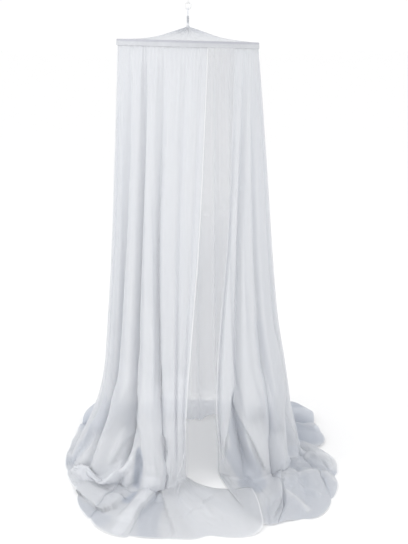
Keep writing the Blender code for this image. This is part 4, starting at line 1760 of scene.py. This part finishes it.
@dataclass
class Crown:
    """Shallow tent of net from the hoop up to a gathered and bound neck."""

    name: str = "crown_sheet"
    rim: tuple[float, float] = (0.3189, 0.001)
    slope: tuple[tuple[float, float], ...] = (
        (0.300, 0.0045), (0.230, 0.0100), (0.160, 0.0195), (0.095, 0.0365),
        (0.045, 0.0510), (0.014, 0.0630), (0.0064, 0.069), (0.0049, 0.077),
        (0.0049, 0.115),
    )
    steps: int = 384
    rows: int = 46
    pleats: int = 48
    row_spacing: float = 0.8
    minor_pleats: int = 31
    pleat_depth: float = 0.0035
    least_depth: float = 0.0010
    steepest: float = 0.14
    rim_fade: Ramp = Ramp(0.3185, 0.300)
    neck_heights: Ramp = Ramp(0.060, 0.070)
    neck_flutes: int = 11
    flute_depth: float = 0.0007
    tilt_reach: float = 0.95
    bound: tuple[float, float] = (0.073, 0.081)
    bound_edge: float = 0.002
    gather_radii: Ramp = Ramp(0.12, 0.01)
    hem_radii: Ramp = Ramp(0.311, 0.316)

    def build(self, finish: bpy.types.Material) -> bpy.types.Object:
        """Make the crown's sheet.

        Args:
            finish: the net material.

        Returns:
            The new object, riding on the frame in place of its CAD node.
        """
        profile = np.array([self.rim, *self.slope])
        path = np.concatenate([[0], np.cumsum(np.linalg.norm(np.diff(profile, axis=0), axis=1))])
        at = path[-1] * np.linspace(0, 1, self.rows) ** self.row_spacing
        line = smooth_curve(path, profile, at)
        turn = np.linspace(0, 2 * np.pi, self.steps, endpoint=False)[:, None]
        radius, height = line[:, 0][None, :], line[:, 1][None, :]
        main = uneven_wave(turn, self.pleats, sway=0.8, beats=3)
        minor = uneven_wave(turn, self.minor_pleats, sway=1.7, beats=5, start=1.0)
        strength = self.pleat_depth * np.exp(-((radius - 0.05) / 0.05) ** 2) + self.least_depth
        strength = np.minimum(strength, self.steepest * radius) * fade(radius, *self.rim_fade)
        ripple = (0.6 * main + 0.4 * minor) * strength
        neck = fade(height, *self.neck_heights)
        low, high = self.bound
        bound = fade(height, low - self.bound_edge, low) * fade(height, high + self.bound_edge, high)
        flute = self.flute_depth * np.cos(self.neck_flutes * turn) * neck * (1 - bound)
        wide = radius + flute + ripple * neck * 0.2 + self.flute_depth * bound
        points = ring_points(wide, turn, height + ripple * (1 - neck))
        made = grid_object(self.name, level_with_hoop(points, self.tilt_reach), closed=True)
        made.location.z = HOOP_Z
        # denser towards the gathered neck, with painted shade in the pleat valleys
        gathered = fade(radius, *self.gather_radii) * 0.3 + 0.15 * (0.5 - 0.5 * main)
        keep_mask(made, Mask.GATHER_AND_SHADE, np.clip(gathered, 0, 1))
        hem = np.maximum(fade(radius, *self.hem_radii), bound) * np.ones_like(main)
        keep_mask(made, Mask.HEM, hem)
        made.data.materials.append(finish)
        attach(made, "root")
        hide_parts("crown_net")
        LOG.info("%s: %.3f m2", self.name, cloth_area(made))
        return made


@dataclass
class Casing:
    """Band folded over the hoop, puckered where the panels are gathered into it."""

    name: str = "casing_band"
    depth: float = 0.022
    over: float = 0.0052
    flare: float = 0.0012
    steps: int = 540
    puckers: int = 90
    pucker_depth: float = 0.0007
    edge_wave: float = 0.0006
    cloth: float = 0.0008
    shoulder: float = -0.002
    flank_steps: int = 8

    def build(self, finish: bpy.types.Material) -> bpy.types.Object:
        """Make the band.

        Args:
            finish: the binding material.

        Returns:
            The new object, riding on the frame in place of its CAD node.
        """
        skirt = self.over + self.flare
        arch = [math.radians(angle) for angle in range(0, 181, 20)]
        drop = np.linspace(-self.depth, self.shoulder, self.flank_steps)
        share = np.linspace(0, 1, self.flank_steps)
        outer = [(skirt + (self.over - skirt) * t, z) for t, z in zip(share, drop)]
        over = [(self.over * math.cos(a), self.over * math.sin(a)) for a in arch]
        inner = [(-out, z) for out, z in reversed(outer)]
        line = np.array([*outer, *over, *inner])
        turn = np.linspace(0, 2 * np.pi, self.steps, endpoint=False)[:, None]
        pucker = uneven_wave(turn, self.puckers, sway=1.3, beats=7)
        low = fade(line[:, 1], 0.0, -self.depth)[None, :]
        pull = self.pucker_depth * pucker * low * np.sign(line[:, 0])[None, :]
        radius = HOOP_RADIUS + line[:, 0][None, :] + pull
        wave = self.edge_wave * np.cos(self.puckers / 2 * turn) * low
        points = ring_points(radius, turn, line[:, 1][None, :] + wave)
        made = grid_object(self.name, points, closed=True)
        made.location.z = HOOP_Z
        made.rotation_euler.y = HOOP_TILT
        made.data.materials.append(finish)
        thicken(made, self.cloth)
        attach(made, "root")
        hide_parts("heading_casing")
        LOG.info("%s: %.3f m2", self.name, cloth_area(made))
        return made


@dataclass
class Tape:
    """Closed loop of woven tape from inside the neck up and over the ring's tube."""

    name: str = "hanging_tape_loop"
    width: float = 0.006
    thickness: float = 0.0009
    half_gap: float = 0.0016
    foot: float = 0.085
    over_ring: float = 0.0052
    ring_foot: float = 0.1455
    shoulder: float = 0.0035
    leg_drop: float = 0.027
    leg_spread: float = 0.0045
    leg_start: float = 0.15
    leg_steps: int = 10
    edge_round: float = 0.0002
    across: int = 5

    def leg(self, side: int, begin: float, end: float) -> list[tuple[float, float]]:
        """Lay out one side of the loop between the ring and the neck.

        Args:
            side: -1 for the front, 1 for the back.
            begin: share of the way down where it starts.
            end: share of the way down where it ends.

        Returns:
            Places in the YZ plane, above the hoop.
        """
        top = self.ring_foot - self.shoulder
        spread = self.leg_spread
        return [
            (side * (spread - (spread - self.half_gap) * step), top - step * self.leg_drop)
            for step in np.linspace(begin, end, self.leg_steps)
        ]

    def centre_line(self) -> np.ndarray:
        """Lay out the whole loop.

        Returns:
            Places in the YZ plane, above the hoop.
        """
        over = [math.radians(angle) for angle in range(-30, 211, 15)]
        under = [math.radians(angle) for angle in range(180, 361, 30)]
        tube, gap = self.over_ring, self.half_gap
        foot = self.foot + gap
        path = [(tube * math.cos(a), self.ring_foot + tube * math.sin(a)) for a in over]
        path += self.leg(-1, self.leg_start, 1)
        path += [(gap * math.cos(a), foot + gap * math.sin(a)) for a in under]
        path += self.leg(1, 1, self.leg_start)
        return np.array(path)

    def build(self, finish: bpy.types.Material) -> bpy.types.Object:
        """Make the loop.

        Args:
            finish: the binding material.

        Returns:
            The new object, riding on the frame in place of its CAD node.
        """
        path = self.centre_line()
        edges = np.linspace(-self.width / 2, self.width / 2, self.across)
        grid = np.array([[(x, y, z) for x in edges] for y, z in path])
        made = grid_object(self.name, grid, closed=True)
        made.location.z = HOOP_Z
        made.data.materials.append(finish)
        thicken(made, self.thickness)
        rounded = made.modifiers.new("Edges", "BEVEL")
        rounded.width = self.edge_round
        rounded.segments = 2
        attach(made, "root")
        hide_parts("hanging_tape")
        LOG.info("%s: %d faces", self.name, len(made.data.polygons))
        return made


@dataclass
class Hardware:
    """The hard pieces, which keep their CAD shapes."""

    nodes: dict[str, bpy.types.Object]

    def dress(self, finishes: dict[str, bpy.types.Material]) -> None:
        """Give each hard node its finish.

        Args:
            finishes: material of each node by the node's name.
        """
        for name, finish in finishes.items():
            node = self.nodes[name]
            node.data.materials.clear()
            node.data.materials.append(finish)
            LOG.info("%s: dressed in %s", name, finish.name)


# --------------------------------------------------------------------------------------
# Studio
# --------------------------------------------------------------------------------------


@dataclass
class Studio:
    """Pale floor and backdrop, soft lights and the camera."""

    camera_place: Place = (0.0743, -3.887, FLOOR_Z + 2.119)
    camera_drop: float = math.radians(15.945)
    sensor: float = 36.0
    lens: float = 805 / 544 * 36
    floor_size: float = 400.0
    pale: Colour = (0.975, 0.975, 0.975)
    cloud_scale: float = 3.0
    cloud_dim: float = 0.994
    floor_roughness: float = 0.9
    floor_specular: float = 0.1
    sky: float = 1.03
    key: tuple[Place, float, float] = ((-3.4, -1.8, 1.3), 45.0, 1.2)
    fill: tuple[Place, float, float] = ((3.0, -2.4, 0.0), 16.0, 2.0)

    def add_camera(self) -> None:
        """Make the scene's camera."""
        data = bpy.data.cameras.new("camera")
        data.lens = self.lens
        data.sensor_width = self.sensor
        made = bpy.data.objects.new("camera", data)
        bpy.context.scene.collection.objects.link(made)
        made.location = self.camera_place
        made.rotation_euler = (math.pi / 2 - self.camera_drop, 0, 0)
        bpy.context.scene.camera = made

    def add_floor(self) -> None:
        """Make the pale floor."""
        half = self.floor_size / 2
        mesh = bpy.data.meshes.new("floor")
        corners = [(-half, -half, 0), (half, -half, 0), (half, half, 0), (-half, half, 0)]
        mesh.from_pydata(corners, [], [(0, 1, 2, 3)])
        made = bpy.data.objects.new("floor", mesh)
        bpy.context.scene.collection.objects.link(made)
        made.location.z = FLOOR_Z
        surface, graph, shader = start_material("pale_floor")
        cloud = graph.add("ShaderNodeTexNoise")
        cloud.inputs["Scale"].default_value = self.cloud_scale
        dim = tuple(self.cloud_dim * part for part in self.pale)
        graph.link(graph.mix(cloud.outputs["Fac"], self.pale, dim), shader.inputs["Base Color"])
        shader.inputs["Roughness"].default_value = self.floor_roughness
        shader.inputs["Specular IOR Level"].default_value = self.floor_specular
        mesh.materials.append(surface)

    def add_light(
        self, name: str, place: Place, power: float, size: float,
        aim: Place = (0, 0, FLOOR_Z + 0.9),
    ) -> None:
        """Add a square area light.

        Args:
            name: the light's name.
            place: where it stands.
            power: watts.
            size: side of the square.
            aim: the point it faces.
        """
        data = bpy.data.lights.new(name, "AREA")
        data.energy = power
        data.size = size
        made = bpy.data.objects.new(name, data)
        bpy.context.scene.collection.objects.link(made)
        made.location = place
        away = Vector(aim) - Vector(place)
        made.rotation_euler = away.to_track_quat("-Z", "Y").to_euler()

    def add_sky(self) -> None:
        """Even white light from all round."""
        world = bpy.data.worlds.new("studio")
        world.use_nodes = True
        back = world.node_tree.nodes["Background"]
        back.inputs["Color"].default_value = (1.0, 1.0, 1.0, 1.0)
        back.inputs["Strength"].default_value = self.sky
        bpy.context.scene.world = world

    def build(self) -> None:
        """Make the whole studio."""
        self.add_camera()
        self.add_floor()
        self.add_sky()
        self.add_light("key", *self.key)
        self.add_light("fill", *self.fill)
        bpy.context.scene.view_settings.view_transform = "Standard"
        LOG.info("studio ready")


def main() -> None:
    """Build and dress every piece in order."""
    logging.basicConfig(level=logging.INFO, format="%(name)s: %(message)s")
    groups = Groups.make()
    net = NetFinish("sheer_net").build(groups)
    casing = BindingFinish(
        "casing_cloth", colour=(0.70, 0.715, 0.75), thread_colour=(0.80, 0.81, 0.84),
        stitch_rows=(0.003, 0.051), alpha=0.80, hoop_shade_band=(0.016, 0.031),
    ).build(groups)
    tape = BindingFinish("woven_tape", pitch=0.0007).build(groups)
    plastic = HardFinish(
        "white_ring_plastic", (0.86, 0.86, 0.86), (0.80, 0.80, 0.80), 0.28, 0.45
    ).build(groups)
    enamel = HardFinish(
        "white_hook_enamel", (0.84, 0.84, 0.83), (0.76, 0.76, 0.75), 0.2, 0.4, coat=0.3
    ).build(groups)
    wire = HardFinish(
        "grey_hoop_coating", (0.30, 0.31, 0.35), (0.38, 0.39, 0.42), 0.4, 0.6
    ).build(groups)

    Studio().build()
    NetPanel("left_net_sheet", "left_net", Side.LEFT, LEFT_FOLDS, LEFT_CREASES, LEFT_EDGES,
             LEFT_LAYERS_AND_LIGHT, flat=(3.17, 2.71), flat_area=4.12).build(net)
    NetPanel("right_net_sheet", "right_net", Side.RIGHT, RIGHT_FOLDS, RIGHT_CREASES, RIGHT_EDGES,
             RIGHT_LAYERS_AND_LIGHT, flat=(2.44, 2.68), flat_area=3.6, hem_strength=0.3).build(net)
    Crown().build(net)
    Casing().build(casing)
    Tape().build(tape)
    Hardware(frame["nodes"]).dress(
        {
            "hanging_ring": plastic,
            "hoop": wire,
            "ceiling_hook": enamel,
            "ceiling_plate": enamel,
        }
    )
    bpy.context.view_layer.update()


if __name__ == "__main__":
    main()
